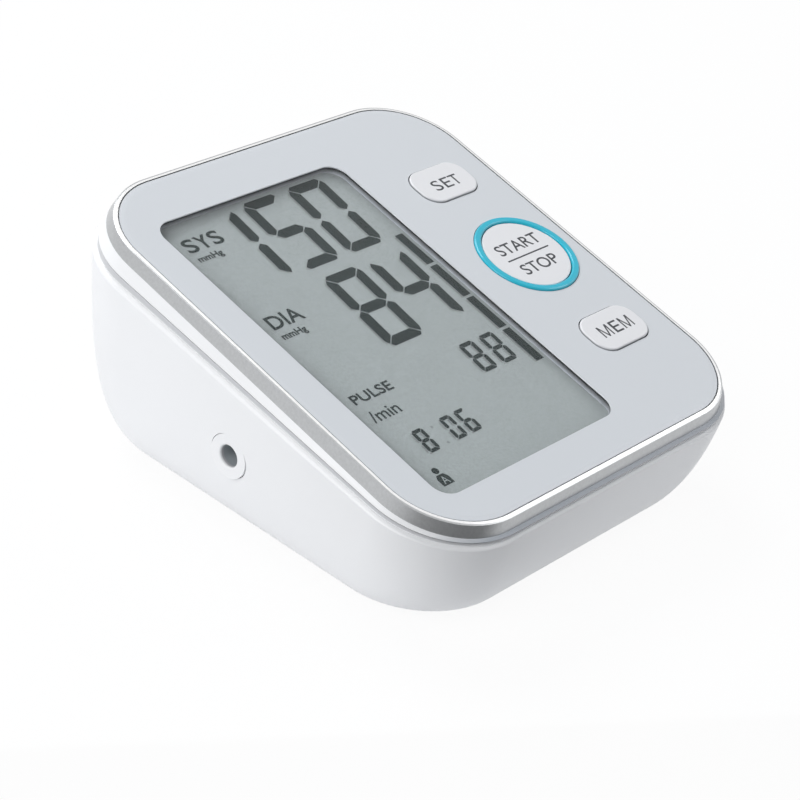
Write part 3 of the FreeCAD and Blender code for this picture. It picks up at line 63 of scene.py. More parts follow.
# ---- Table and light ----------------------------------------------------------------------------
# A plain pale table top and a white room, which both look white and light the monitor softly. The table
# keeps a faint shadow and is clear from below. Of the three soft boxes the large one stands to the left, one
# hangs over the back, and a weak one stands in front to the right.
TABLE_HALF_SIZE = 3.0
table_mesh = bpy.data.meshes.new("table_top")
table = bpy.data.objects.new("table_top", table_mesh)
bpy.context.scene.collection.objects.link(table)
work = bmesh.new()
bmesh.ops.create_grid(work, x_segments=2, y_segments=2, size=TABLE_HALF_SIZE)
work.to_mesh(table_mesh)
work.free()


def shader(name):
    """A new node material with its Principled shader and output, and object coordinates for patterns."""
    made = bpy.data.materials.new(name)
    made.use_nodes = True
    tree = made.node_tree
    surface = tree.nodes["Principled BSDF"]
    place = tree.nodes.new("ShaderNodeTexCoord").outputs["Object"]
    return made, tree, surface, place


def looked_at(tree):
    """1 for rays from the camera, and for those that a mirror or a clear piece sends on. 0 for light."""
    path = tree.nodes.new("ShaderNodeLightPath")
    total = path.outputs["Is Camera Ray"]
    for kind in ("Is Glossy Ray", "Is Transmission Ray"):
        either = tree.nodes.new("ShaderNodeMath")
        either.operation = "MAXIMUM"
        tree.links.new(total, either.inputs[0])
        tree.links.new(path.outputs[kind], either.inputs[1])
        total = either.outputs[0]
    return total


TABLE_COLOURS = (0.885, 0.892, 0.905), (0.915, 0.922, 0.935)
TABLE_WHITENESS = 0.93
table_paint, tree, surface, place = shader("table_paint")
surface.inputs["Roughness"].default_value = 0.8
cloudy = tree.nodes.new("ShaderNodeTexNoise")
cloudy.inputs["Scale"].default_value = 3.0
tree.links.new(place, cloudy.inputs["Vector"])
paint = tree.nodes.new("ShaderNodeValToRGB")
for stop, colour in zip(paint.color_ramp.elements, TABLE_COLOURS):
    stop.color = (*colour, 1)
tree.links.new(cloudy.outputs["Fac"], paint.inputs["Fac"])
tree.links.new(paint.outputs["Color"], surface.inputs["Base Color"])
glow = tree.nodes.new("ShaderNodeEmission")
glow.inputs["Strength"].default_value = 1.0
seen = tree.nodes.new("ShaderNodeMath")
seen.operation = "MULTIPLY"
seen.inputs[1].default_value = TABLE_WHITENESS
both = tree.nodes.new("ShaderNodeMixShader")
tree.links.new(looked_at(tree), seen.inputs[0])
tree.links.new(seen.outputs[0], both.inputs["Fac"])
tree.links.new(surface.outputs["BSDF"], both.inputs[1])
tree.links.new(glow.outputs["Emission"], both.inputs[2])
side = tree.nodes.new("ShaderNodeNewGeometry")
clear = tree.nodes.new("ShaderNodeBsdfTransparent")
one_sided = tree.nodes.new("ShaderNodeMixShader")
tree.links.new(side.outputs["Backfacing"], one_sided.inputs["Fac"])
tree.links.new(both.outputs["Shader"], one_sided.inputs[1])
tree.links.new(clear.outputs["BSDF"], one_sided.inputs[2])
tree.links.new(one_sided.outputs["Shader"], tree.nodes["Material Output"].inputs["Surface"])
table_mesh.materials.append(table_paint)

ROOM_TINT, ROOM_LIGHT = (0.91, 0.945, 1.0, 1), 0.26
room = bpy.data.worlds.new("white_room")
room.use_nodes = True
bpy.context.scene.world = room
tree = room.node_tree
sky = tree.nodes["Background"]
sky.inputs["Color"].default_value = ROOM_TINT
sky.inputs["Strength"].default_value = ROOM_LIGHT
white = tree.nodes.new("ShaderNodeBackground")
white.inputs["Strength"].default_value = 1.0
both = tree.nodes.new("ShaderNodeMixShader")
tree.links.new(looked_at(tree), both.inputs["Fac"])
tree.links.new(sky.outputs["Background"], both.inputs[1])
tree.links.new(white.outputs["Background"], both.inputs[2])
tree.links.new(both.outputs["Shader"], tree.nodes["World Output"].inputs["Surface"])


LAMPS_AIM = Vector((0, 0, 0.03))


def soft_box(name, at, watts, width, height):
    """A rectangular soft box that faces the monitor."""
    lamp = bpy.data.lights.new(name, "AREA")
    lamp.shape = "RECTANGLE"
    lamp.size = width
    lamp.size_y = height
    lamp.energy = watts
    holder = bpy.data.objects.new(name, lamp)
    bpy.context.scene.collection.objects.link(holder)
    turned = (LAMPS_AIM - Vector(at)).to_track_quat("-Z", "Y").to_matrix().to_4x4()
    holder.matrix_world = Matrix.Translation(at) @ turned


soft_box("left_box", at=(-0.95, -0.05, 0.74), watts=7.7, width=0.8, height=0.65)
soft_box("top_box", at=(0.02, 0.62, 0.82), watts=5.4, width=0.6, height=0.5)
soft_box("right_box", at=(0.66, -0.34, 0.62), watts=1.8, width=0.6, height=0.42)

# A grey card, out of the camera's sight, lies on the table in front of the near corner. It keeps the
# bezel's flank and the corner of the case dark, so that they stand out.
CARD_PLACE, CARD_TURN, CARD_SIZE = (-0.125, -0.180, 0.0008), radians(55), (0.24, 0.28)
CARD_COLOURS = (0.05, 0.05, 0.05), (0.08, 0.08, 0.08)
card_paint, tree, surface, place = shader("card_paint")
surface.inputs["Roughness"].default_value = 0.9
fibres = tree.nodes.new("ShaderNodeTexNoise")
fibres.inputs["Scale"].default_value = 400.0
tree.links.new(place, fibres.inputs["Vector"])
paint = tree.nodes.new("ShaderNodeValToRGB")
for stop, colour in zip(paint.color_ramp.elements, CARD_COLOURS):
    stop.color = (*colour, 1)
tree.links.new(fibres.outputs["Fac"], paint.inputs["Fac"])
tree.links.new(paint.outputs["Color"], surface.inputs["Base Color"])

card_mesh = bpy.data.meshes.new("grey_card")
card = bpy.data.objects.new("grey_card", card_mesh)
bpy.context.scene.collection.objects.link(card)
work = bmesh.new()
bmesh.ops.create_grid(work, x_segments=1, y_segments=1, size=0.5)
turned = Matrix.Translation(CARD_PLACE) @ Matrix.Rotation(CARD_TURN, 4, "Z")
bmesh.ops.transform(work, matrix=turned @ Matrix.Diagonal((*CARD_SIZE, 1, 1)), verts=work.verts[:])
work.to_mesh(card_mesh)
work.free()
card_mesh.materials.append(card_paint)
card.visible_camera = False
card.visible_shadow = False


# ---- White case: lower case, upper case and battery door ----------------------------------------
# Injection-moulded ABS with a fine matt spark-eroded skin. The tall lower case, the white band under
# the bezel and the flush battery door come from the same resin. Two screws from below hold the upper case
# to the lower one, and the door turns on two hooks in the floor.
def moulded_skin():
    """Node group for a moulded or painted skin: fine grain as a height, and a slow change of tone."""
    group = bpy.data.node_groups.new("moulded_skin", "ShaderNodeTree")
    group.interface.new_socket("Vector", in_out="INPUT", socket_type="NodeSocketVector")
    for name in ("Grain Scale", "Tone Scale", "Tone Range"):
        group.interface.new_socket(name, in_out="INPUT", socket_type="NodeSocketFloat")
    for name in ("Height", "Tone"):
        group.interface.new_socket(name, in_out="OUTPUT", socket_type="NodeSocketFloat")
    given = group.nodes.new("NodeGroupInput")
    result = group.nodes.new("NodeGroupOutput")
    grain = group.nodes.new("ShaderNodeTexNoise")
    grain.inputs["Detail"].default_value = 3.0
    group.links.new(given.outputs["Vector"], grain.inputs["Vector"])
    group.links.new(given.outputs["Grain Scale"], grain.inputs["Scale"])
    group.links.new(grain.outputs["Fac"], result.inputs["Height"])
    drift = group.nodes.new("ShaderNodeTexNoise")
    group.links.new(given.outputs["Vector"], drift.inputs["Vector"])
    group.links.new(given.outputs["Tone Scale"], drift.inputs["Scale"])
    centred = group.nodes.new("ShaderNodeMath")
    centred.operation = "SUBTRACT"
    centred.inputs[1].default_value = 0.5
    ranged = group.nodes.new("ShaderNodeMath")
    ranged.operation = "MULTIPLY_ADD"
    ranged.inputs[2].default_value = 1.0
    group.links.new(drift.outputs["Fac"], centred.inputs[0])
    group.links.new(centred.outputs[0], ranged.inputs[0])
    group.links.new(given.outputs["Tone Range"], ranged.inputs[1])
    group.links.new(ranged.outputs[0], result.inputs["Tone"])
    return group


skin = moulded_skin()
COAT_ROUGHNESS = 0.08


def finish(name, colour, roughness, grain=2500.0, depth=0.00001, tone=0.04, tone_scale=40.0, metallic=0.0,
           coat=0.0, gloss=0.5, rough_range=0.06, second=None):
    """A finish made of one colour with the skin's grain and drift of tone.

    grain and tone_scale are the two patterns' frequencies, each in features per metre. depth is the grain's
    height in metres, tone how far the colour drifts, and gloss the strength of reflections. second is
    another colour, a direction, and the two places along it between which that colour takes over."""
    made, tree, surface, place = shader(name)
    surface.inputs["Metallic"].default_value = metallic
    surface.inputs["Specular IOR Level"].default_value = gloss
    surface.inputs["Coat Weight"].default_value = coat
    surface.inputs["Coat Roughness"].default_value = COAT_ROUGHNESS
    cover = tree.nodes.new("ShaderNodeGroup")
    cover.node_tree = skin
    cover.inputs["Grain Scale"].default_value = grain
    cover.inputs["Tone Scale"].default_value = tone_scale
    cover.inputs["Tone Range"].default_value = tone
    tree.links.new(place, cover.inputs["Vector"])
    toned = tree.nodes.new("ShaderNodeVectorMath")
    toned.operation = "SCALE"
    toned.inputs[0].default_value = colour
    tree.links.new(cover.outputs["Tone"], toned.inputs["Scale"])
    tree.links.new(toned.outputs["Vector"], surface.inputs["Base Color"])
    spread = tree.nodes.new("ShaderNodeMapRange")
    spread.inputs["To Min"].default_value = roughness - rough_range / 2
    spread.inputs["To Max"].default_value = roughness + rough_range / 2
    tree.links.new(cover.outputs["Height"], spread.inputs["Value"])
    tree.links.new(spread.outputs["Result"], surface.inputs["Roughness"])
    bumps = tree.nodes.new("ShaderNodeBump")
    bumps.inputs["Distance"].default_value = depth
    tree.links.new(cover.outputs["Height"], bumps.inputs["Height"])
    tree.links.new(bumps.outputs["Normal"], surface.inputs["Normal"])
    if second:
        other, direction, start, end = second
        along = tree.nodes.new("ShaderNodeVectorMath")
        along.operation = "DOT_PRODUCT"
        along.inputs[1].default_value = direction
        tree.links.new(place, along.inputs[0])
        level = tree.nodes.new("ShaderNodeMapRange")
        level.inputs["From Min"].default_value = start
        level.inputs["From Max"].default_value = end
        tree.links.new(along.outputs["Value"], level.inputs["Value"])
        blend = tree.nodes.new("ShaderNodeValToRGB")
        blend.color_ramp.elements[0].color = (*colour, 1)
        blend.color_ramp.elements[1].color = (*other, 1)
        tree.links.new(level.outputs["Result"], blend.inputs["Fac"])
        tree.links.new(blend.outputs["Color"], toned.inputs[0])
    return made


def dress(material, *names):
    """Gives CAD nodes their finish."""
    for name in names:
        mesh = nodes[name].data
        mesh.materials.clear()
        mesh.materials.append(material)


CASE_COLOUR = (0.86, 0.865, 0.875)
CASE_SKIN = {"roughness": 0.42, "grain": 3500.0, "depth": 0.000012, "tone": 0.02, "tone_scale": 25.0}
case_white = finish("case_white", CASE_COLOUR, **CASE_SKIN)
dress(case_white, "battery_door")


def reach(name, direction):
    """The lowest and highest place of a CAD node along a direction, in metres from the origin."""
    along = [direction.dot(vertex.co) for vertex in nodes[name].data.vertices]
    return min(along), max(along)


# The keys travel straight into the panel, so their joint gives its slope. Places on the panel are measured
# from the middle of its face: across the case, up the slope, and out along the panel's normal.
press = next(joint for joint in frame["joints"] if joint["name"] == "start_press")
ACROSS = Vector((1, 0, 0))
PANEL_NORMAL = -Vector(press["axis"]).normalized()
PANEL_UP = PANEL_NORMAL.cross(ACROSS)
SLOPE = atan2(PANEL_UP.z, PANEL_UP.y)
PANEL_LEVEL = reach("fascia_plate", PANEL_NORMAL)[1]
PANEL_MIDDLE = sum(reach("fascia_plate", PANEL_UP)) / 2
PANEL_CENTRE = PANEL_LEVEL * PANEL_NORMAL + PANEL_MIDDLE * PANEL_UP

# Two places are greyed with painted shade, where they lie in the shade of the parts above them. One is the
# lip that stands up in the joint under the white band. The joint's plane is a little less steep than the
# panel.
JOINT_DIP, JOINT_FORWARD, JOINT_DEPTH = 0.0394, 0.0587, 0.0046
JOINT_NORMAL = Matrix.Rotation(SLOPE - JOINT_DIP, 3, "X") @ Vector((0, 0, 1))
JOINT_LEVEL = JOINT_NORMAL.dot(PANEL_CENTRE - JOINT_FORWARD * PANEL_UP - JOINT_DEPTH * PANEL_NORMAL)
LIP_PAINTED_SHADE = (0.58, 0.585, 0.60)
LIP_SHADE_START, LIP_SHADE_FULL = JOINT_LEVEL + 0.00001, JOINT_LEVEL + 0.0005
case_painted_shade = finish("case_painted_shade", CASE_COLOUR, **CASE_SKIN,
                     second=(LIP_PAINTED_SHADE, JOINT_NORMAL, LIP_SHADE_START, LIP_SHADE_FULL))
dress(case_painted_shade, "lower_case")

# The other is the front of the white band, under the bezel's front edge, which painted shade turns
# blue-grey.
BAND_PAINTED_SHADE = (0.40, 0.43, 0.47)
BAND_SHADE_START, BAND_SHADE_FULL = PANEL_MIDDLE - 0.053, PANEL_MIDDLE - 0.0605
band_painted_shade = finish("band_painted_shade", CASE_COLOUR, **CASE_SKIN,
                     second=(BAND_PAINTED_SHADE, PANEL_UP, BAND_SHADE_START, BAND_SHADE_FULL))
dress(band_painted_shade, "upper_case")


# ---- Silver bezel -------------------------------------------------------------------------------
# A moulded frame with a satin silver coat. Fine metal flake in the coat gives it a soft grain. Its
# narrow top rim lies level with the panel and carries a painted highlight: its colour is near white, far
# brighter than the flank's.
RIM_PAINTED_HIGHLIGHT, FLANK_SILVER = (0.98, 0.98, 0.98), (0.50, 0.51, 0.52)
FLANK_START, FLANK_FULL = PANEL_LEVEL - 0.00005, PANEL_LEVEL - 0.00011
silver = finish("satin_silver", RIM_PAINTED_HIGHLIGHT, 0.30, grain=9000.0, depth=0.000004, tone=0.25,
                tone_scale=1800.0, metallic=0.75,
                second=(FLANK_SILVER, PANEL_NORMAL, FLANK_START, FLANK_FULL))
dress(silver, "silver_bezel")


# ---- Front panel --------------------------------------------------------------------------------
# One flat pale blue-grey moulding with a clear glossy hard coat, let into the bezel. The place above the
# display is left bare.
panel_gloss = finish("panel_gloss", (0.625, 0.655, 0.69), 0.30, grain=1500.0, depth=0.000002, tone=0.03,
                     tone_scale=15.0, coat=1.0, rough_range=0.04)
dress(panel_gloss, "fascia_plate")


# ---- Display window -----------------------------------------------------------------------------
# A clear acrylic lens with a coat against reflections, glued behind the panel's opening. It bends the view
# of the display cell under it, and lets lamp light through to the cell.
ACRYLIC_IOR, LENS_GLOSS, LENS_ROUGHNESS = 1.49, 0.15, 0.003
lens_clear, tree, surface, place = shader("lens_clear")
surface.inputs["Base Color"].default_value = (1, 1, 1, 1)
surface.inputs["Transmission Weight"].default_value = 1.0
surface.inputs["IOR"].default_value = ACRYLIC_IOR
surface.inputs["Specular IOR Level"].default_value = LENS_GLOSS
surface.inputs["Specular Tint"].default_value = (0, 0, 0, 1)
haze = tree.nodes.new("ShaderNodeTexNoise")
haze.inputs["Scale"].default_value = 120.0
tree.links.new(place, haze.inputs["Vector"])
polish = tree.nodes.new("ShaderNodeMapRange")
polish.inputs["To Min"].default_value = 0.0
polish.inputs["To Max"].default_value = LENS_ROUGHNESS
tree.links.new(haze.outputs["Fac"], polish.inputs["Value"])
tree.links.new(polish.outputs["Result"], surface.inputs["Roughness"])
passing = tree.nodes.new("ShaderNodeLightPath")
through = tree.nodes.new("ShaderNodeBsdfTransparent")
both = tree.nodes.new("ShaderNodeMixShader")
tree.links.new(passing.outputs["Is Shadow Ray"], both.inputs["Fac"])
tree.links.new(surface.outputs["BSDF"], both.inputs[1])
tree.links.new(through.outputs["BSDF"], both.inputs[2])
tree.links.new(both.outputs["Shader"], tree.nodes["Material Output"].inputs["Surface"])
dress(lens_clear, "window_lens")

# The gasket is a die-cut ring of grey closed-cell foam, squeezed between the lens and the cell. Painted
# shade darkens its colour to near black towards its cut upper edge, under the panel.
GASKET_EDGE_PAINTED_SHADE, GASKET_GREY = (0.02, 0.022, 0.024), (0.30, 0.32, 0.35)
GREY_START, GREY_FULL = PANEL_LEVEL - 0.00185, PANEL_LEVEL - 0.0030
gasket_grey = finish("gasket_grey", GASKET_EDGE_PAINTED_SHADE, 0.85, grain=1800.0, depth=0.00005, tone=0.1,
                     tone_scale=300.0, second=(GASKET_GREY, PANEL_NORMAL, GREY_START, GREY_FULL))
dress(gasket_grey, "display_gasket")


# ---- Display cell -------------------------------------------------------------------------------
# A twisted nematic liquid crystal cell, held under the lens: grey-green ground, dark segments that are
# switched on, printed words, and the soft shadow that the segments throw on the reflector behind them.
cell_ground = finish("cell_ground", (0.198, 0.223, 0.228), 0.6, grain=5000.0, depth=0.000001, tone=0.4,
                     tone_scale=1700.0, gloss=0.1)
dress(cell_ground, "lcd_glass")

# From here on, what lies on the panel's slope is drawn in millimetres, and this takes it to its place.
panel = Matrix.Translation(PANEL_CENTRE) @ Matrix.Rotation(SLOPE, 4, "X") @ Matrix.Scale(0.001, 4)


def face_of(name):
    """How far the upper face of a CAD node stands over the panel's face, in millimetres."""
    return (reach(name, PANEL_NORMAL)[1] - PANEL_LEVEL) * 1000


CELL_FACE = face_of("lcd_glass")
LAYER = 0.01


def flat_piece(name, work, level, material, body, thickness=0.0):
    """Finishes a flat bmesh, drawn on the panel's slope, as a piece at a level over the panel's face."""
    if thickness:
        grown = bmesh.ops.extrude_face_region(work, geom=work.faces[:])
        raised = [item for item in grown["geom"] if isinstance(item, bmesh.types.BMVert)]
        bmesh.ops.translate(work, vec=(0, 0, thickness), verts=raised)
    bmesh.ops.transform(work, matrix=panel @ Matrix.Translation((0, 0, level)), verts=work.verts[:])
    bmesh.ops.recalc_face_normals(work, faces=work.faces[:])
    mesh = bpy.data.meshes.new(name)
    work.to_mesh(mesh)
    work.free()
    mesh.materials.append(material)
    piece = bpy.data.objects.new(name, mesh)
    bpy.context.scene.collection.objects.link(piece)
    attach(piece, body)
    return piece


def digit_bars(x, u, width, height, bar, lean, on):
    """The lit bars of one digit as outlines. x, u is its lower left corner, and bar is a bar's width.

    Three bars are drawn, with their mitred ends and the gaps between them in bar widths. The other four are
    their mirror images. lean is how far the digit's top leans to the right."""
    middle = height / 2
    top = [(0.33 * bar, height - 0.30 * bar), (0.57 * bar, height), (width - 0.57 * bar, height),
           (width - 0.33 * bar, height - 0.30 * bar), (width - 1.06 * bar, height - bar),
           (1.06 * bar, height - bar)]
    side = [(0, middle + 0.5 * bar), (0, height - 0.8 * bar), (0.23 * bar, height - 0.36 * bar),
            (bar, height - 1.08 * bar), (bar, middle + 0.55 * bar), (0.5 * bar, middle + 0.1 * bar)]
    across = [(0.58 * bar, middle), (1.08 * bar, middle + 0.5 * bar),
              (width - 1.08 * bar, middle + 0.5 * bar), (width - 0.58 * bar, middle),
              (width - 1.08 * bar, middle - 0.5 * bar), (1.08 * bar, middle - 0.5 * bar)]
    outlines = {"a": top, "f": side, "g": across}
    for upper, lower in (("a", "d"), ("f", "e")):
        outlines[lower] = [(px, height - pu) for px, pu in outlines[upper]]
    for left, right in (("f", "b"), ("e", "c")):
        outlines[right] = [(width - px, pu) for px, pu in outlines[left]]
    return [[(x + px + lean * pu / height, u + pu) for px, pu in outlines[name]] for name in on]


# Three sizes of digit: two rows of big ones, a pair of medium ones, and the clock's small ones.
LIT = {"0": "abcdef", "1": "bc", "4": "bcfg", "5": "acdfg", "6": "acdefg", "8": "abcdefg"}
BIG = {"width": 11.75, "height": 24.55, "bar": 2.85, "lean": 1.2}
MEDIUM = {"width": 4.75, "height": 9.5, "bar": 1.2, "lean": 0.45}
SMALL = {"width": 3.45, "height": 6.9, "bar": 0.98, "lean": 0.3}
BIG_X, BIG_PITCH = -32.72, 14.65
MEDIUM_X, MEDIUM_U, MEDIUM_PITCH = -3.27, -23.9, 6.85
SMALL_U = -36.3
SCALE_X0, SCALE_X1 = 11.68, 14.18
segments = []
for row, digits in ((20.35, "150"), (-7.75, " 84")):
    for column, digit in enumerate(digits):
        if digit != " ":
            segments += digit_bars(BIG_X + BIG_PITCH * column, row, **BIG, on=LIT[digit])
for column, digit in enumerate("88"):
    segments += digit_bars(MEDIUM_X + MEDIUM_PITCH * column, MEDIUM_U, **MEDIUM, on=LIT[digit])
for x, digit in ((-34.32, "8"), (-25.42, "0"), (-20.67, "6")):
    segments += digit_bars(x, SMALL_U, **SMALL, on=LIT[digit])

# The scale at the right edge has four long bars, one over the other.
for top, bottom in ((20.5, 9.4), (8.5, -2.85), (-3.65, -14.75), (-15.55, -26.85)):
    segments.append([(SCALE_X0, bottom), (SCALE_X1, bottom), (SCALE_X1, top), (SCALE_X0, top)])


def polygons(outlines):
    """A flat bmesh with one face for each outline."""
    work = bmesh.new()
    for corners in outlines:
        work.faces.new([work.verts.new((px, pu, 0)) for px, pu in corners])
    return work


segment_dark = finish("segment_dark", (0.008, 0.015, 0.016), 0.6, grain=4000.0, depth=0.000001, tone=0.2,
                      tone_scale=3000.0, gloss=0.1)
flat_piece("display_segments", polygons(segments), CELL_FACE + 2 * LAYER, segment_dark, "housing")

# The shadow is a second, paler layer a little to the left of the segments. Its edge fades to nothing.
SHADOW_SHIFT, SHADOW_FADE, SHADOW_STRENGTH = (-0.85, -0.25, 0), 0.4, 0.35
work = polygons(segments)
bmesh.ops.translate(work, vec=SHADOW_SHIFT, verts=work.verts[:])
strength = work.verts.layers.float.new("strength")
inset = bmesh.ops.inset_individual(work, faces=work.faces[:], thickness=SHADOW_FADE)
for vertex in work.verts:
    vertex[strength] = 0.0
rims = set(inset["faces"])
for face in work.faces:
    if face not in rims:
        for vertex in face.verts:
            vertex[strength] = 1.0
shadow_soft, tree, surface, place = shader("shadow_soft")
surface.inputs["Base Color"].default_value = (0.10, 0.12, 0.12, 1)
surface.inputs["Roughness"].default_value = 0.7
surface.inputs["Specular IOR Level"].default_value = 0.0
fade = tree.nodes.new("ShaderNodeAttribute")
fade.attribute_name = "strength"
faint = tree.nodes.new("ShaderNodeMath")
faint.operation = "MULTIPLY"
faint.inputs[1].default_value = SHADOW_STRENGTH
tree.links.new(fade.outputs["Fac"], faint.inputs[0])
tree.links.new(faint.outputs[0], surface.inputs["Alpha"])
flat_piece("segment_shadows", work, CELL_FACE + LAYER, shadow_soft, "housing")


def word(text, x0, x1, u0, u1, bolder=0.0):
    """A word as a flat bmesh that fills the box from x0 to x1 across and from u0 to u1 up the slope.

    bolder is how far the outline moves outwards on its way there, to widen the strokes."""
    curve = bpy.data.curves.new("word", "FONT")
    curve.body = text
    curve.resolution_u = 6
    writing = bpy.data.objects.new("word", curve)
    bpy.context.scene.collection.objects.link(writing)
    bpy.context.view_layer.update()
    mesh = bpy.data.meshes.new_from_object(writing)
    bpy.data.objects.remove(writing)
    work = bmesh.new()
    work.from_mesh(mesh)
    bpy.data.meshes.remove(mesh)
    bmesh.ops.remove_doubles(work, verts=work.verts[:], dist=1e-6)
    xs = [v.co.x for v in work.verts]
    ys = [v.co.y for v in work.verts]
    left, foot = min(xs), min(ys)
    across = (x1 - x0 - 2 * bolder) / (max(xs) - left)
    up = (u1 - u0 - 2 * bolder) / (max(ys) - foot)
    for vertex in work.verts:
        vertex.co = (x0 + bolder + (vertex.co.x - left) * across, u0 + bolder + (vertex.co.y - foot) * up, 0)
    outwards = {}
    for edge in (e for e in work.edges if e.is_boundary):
        first, second = (v.co for v in edge.verts)
        away = (second - first).cross(Vector((0, 0, 1))).normalized()
        if away.dot(first - edge.link_faces[0].calc_center_median()) < 0:
            away.negate()
        for vertex in edge.verts:
            outwards.setdefault(vertex, []).append(away)
    for vertex, ways in outwards.items():
        both_ways = sum(ways, Vector())
        vertex.co += both_ways * bolder / max(0.6, both_ways.length_squared / 2)
    return work


def together(parts):
    """Joins several flat bmeshes into one."""
    joined = bmesh.new()
    for part in parts:
        mesh = bpy.data.meshes.new("part")
        part.to_mesh(mesh)
        part.free()
        joined.from_mesh(mesh)
        bpy.data.meshes.remove(mesh)
    return joined


display_words = together([word(*printed) for printed in (
    ("S", -39.6, -36.2, 36.2, 40.7, 0.14),
    ("Y", -35.8, -32.3, 36.3, 40.6, 0.14),
    ("S", -31.9, -28.6, 36.2, 40.7, 0.14),
    ("mmHg", -39.4, -32.1, 32.4, 34.9, 0.09),
    ("DIA", -39.3, -29.4, 8.4, 12.6, 0.12),
    ("mmHg", -39.3, -32.0, 4.4, 7.0, 0.09),
    ("PULSE", -39.2, -26.9, -17.8, -14.9, 0.10),
    ("/min", -39.1, -30.5, -23.9, -20.5, 0.07),
)])
flat_piece("display_words", display_words, CELL_FACE + 2 * LAYER, segment_dark, "housing")


def disc(work, x, u, radius, corners):
    """Adds a flat disc to a bmesh."""
    middle = Matrix.Translation((x, u, 0))
    bmesh.ops.create_circle(work, cap_ends=True, radius=radius, segments=corners, matrix=middle)


# The sign for the first user: a head and shoulders with a pale letter on them.
SHOULDERS = ((-39.02, -44.9), (-35.67, -44.9), (-35.67, -42.9),
             (-36.42, -41.75), (-38.42, -41.75), (-39.02, -42.7))
work = bmesh.new()
disc(work, -37.42, -40.55, radius=0.9, corners=24)
work.faces.new([work.verts.new((px, pu, 0)) for px, pu in SHOULDERS])
flat_piece("user_sign", work, CELL_FACE + 2 * LAYER, segment_dark, "housing")
user_letter = word("A", -38.27, -36.47, -44.5, -42.4)
flat_piece("user_letter", user_letter, CELL_FACE + 4 * LAYER, cell_ground, "housing")

# The clock's two dots are half switched on, between its hours and its minutes.
CLOCK_DOTS_X = -28.17
dots_faint = finish("dots_faint", (0.135, 0.155, 0.158), 0.6, grain=4000.0, depth=0.000001, gloss=0.1)
work = bmesh.new()
for u in (-30.6, -35.7):
    disc(work, CLOCK_DOTS_X, u, radius=0.38, corners=16)
flat_piece("clock_dots", work, CELL_FACE + 2 * LAYER, dots_faint, "housing")


# ---- Keys and the turquoise ring ----------------------------------------------------------------
# Three moulded keys in a cool satin white, let through the panel, with printed words. The round one sits
# inside a glossy turquoise trim ring. The sides of the other two, down in their openings, get painted shade:
# their colour turns grey towards the panel.
KEY_COLOUR, KEY_SIDE_PAINTED_SHADE = (0.775, 0.78, 0.80), (0.40, 0.41, 0.43)
KEY_SKIN = {"roughness": 0.34, "grain": 2600.0, "depth": 0.000006, "tone": 0.02, "tone_scale": 60.0}
KEY_SIDE_START, KEY_SIDE_FULL = PANEL_LEVEL + 0.00035, PANEL_LEVEL + 0.00005
key_white = finish("key_white", KEY_COLOUR, **KEY_SKIN)
dress(key_white, "start_button")
key_painted_shade = finish("key_painted_shade", KEY_COLOUR, **KEY_SKIN,
                    second=(KEY_SIDE_PAINTED_SHADE, PANEL_NORMAL, KEY_SIDE_START, KEY_SIDE_FULL))
dress(key_painted_shade, "set_button", "mem_button")
turquoise = finish("turquoise", (0.001, 0.45, 0.60), 0.30, grain=1200.0, depth=0.000003, tone=0.06,
                   tone_scale=90.0, coat=0.45, gloss=0.45, rough_range=0.05)
dress(turquoise, "start_ring")


def key_centre(name):
    """The middle of a key: how far across and up the slope from the panel's centre, in millimetres."""
    return [(sum(reach(name, way)) / 2 - way.dot(PANEL_CENTRE)) * 1000 for way in (ACROSS, PANEL_UP)]


def key_word(key, text, left, right, foot, head, bolder):
    """A word on a key. Its box is measured from the key's middle."""
    x, u = key_centre(key)
    return word(text, x + left, x + right, u + foot, u + head, bolder)


INK = 0.015
key_ink = finish("key_ink", (0.04, 0.043, 0.05), 0.55, grain=6000.0, depth=0.000001, tone=0.1,
                 tone_scale=500.0)

# START and STOP are printed over and under a thin rule.
RULE_LEFT, RULE_RIGHT, RULE_LOW, RULE_HIGH = -7.1, 7.75, -0.45, -0.03
START_X, START_U = key_centre("start_button")
corners = ((RULE_LEFT, RULE_LOW), (RULE_RIGHT, RULE_LOW), (RULE_RIGHT, RULE_HIGH), (RULE_LEFT, RULE_HIGH))
start_words = together([
    key_word("start_button", "START", RULE_LEFT, RULE_RIGHT, 1.7, 5.25, 0.04),
    key_word("start_button", "STOP", -5.95, 6.5, -5.9, -2.4, 0.04),
    polygons([[(START_X + px, START_U + pu) for px, pu in corners]]),
])
flat_piece("start_words", start_words, face_of("start_button"), key_ink, "start_key", thickness=INK)


def letter_m(left, foot, width, height, stroke):
    """An M whose middle reaches down to its foot, as an outline on the MEM key."""
    x, u = key_centre("mem_button")
    half = width / 2
    outer = [(0, 0), (0, height), (1.3 * stroke, height), (half, 1.5 * stroke)]
    inner = [(half - 0.45 * stroke, 0), (stroke, height - 2.0 * stroke), (stroke, 0)]
    outer_right = [(width - px, pu) for px, pu in reversed(outer[:3])]
    inner_right = [(width - px, pu) for px, pu in reversed(inner)]
    return [(x + left + px, u + foot + pu) for px, pu in outer + outer_right + inner_right + inner]


# SET and MEM are set letter by letter.
SET_FOOT, SET_HEAD = -2.35, 1.15
set_word = together([
    key_word("set_button", letter, left, right, SET_FOOT, SET_HEAD, 0.02)
    for letter, left, right in (("S", -4.4, -1.75), ("E", -0.9, 1.75), ("T", 2.05, 4.8))
])
flat_piece("set_word", set_word, face_of("set_button"), key_ink, "set_key", thickness=INK)

MEM_FOOT, MEM_HEAD, M_WIDTH, M_STROKE = -1.85, 1.8, 3.4, 0.42
mem_word = together([
    polygons([letter_m(left, MEM_FOOT, M_WIDTH, MEM_HEAD - MEM_FOOT, M_STROKE) for left in (-5.25, 2.5)]),
    key_word("mem_button", "E", -0.95, 1.75, MEM_FOOT, MEM_HEAD, 0.02),
])
flat_piece("mem_word", mem_word, face_of("mem_button"), key_ink, "mem_key", thickness=INK)
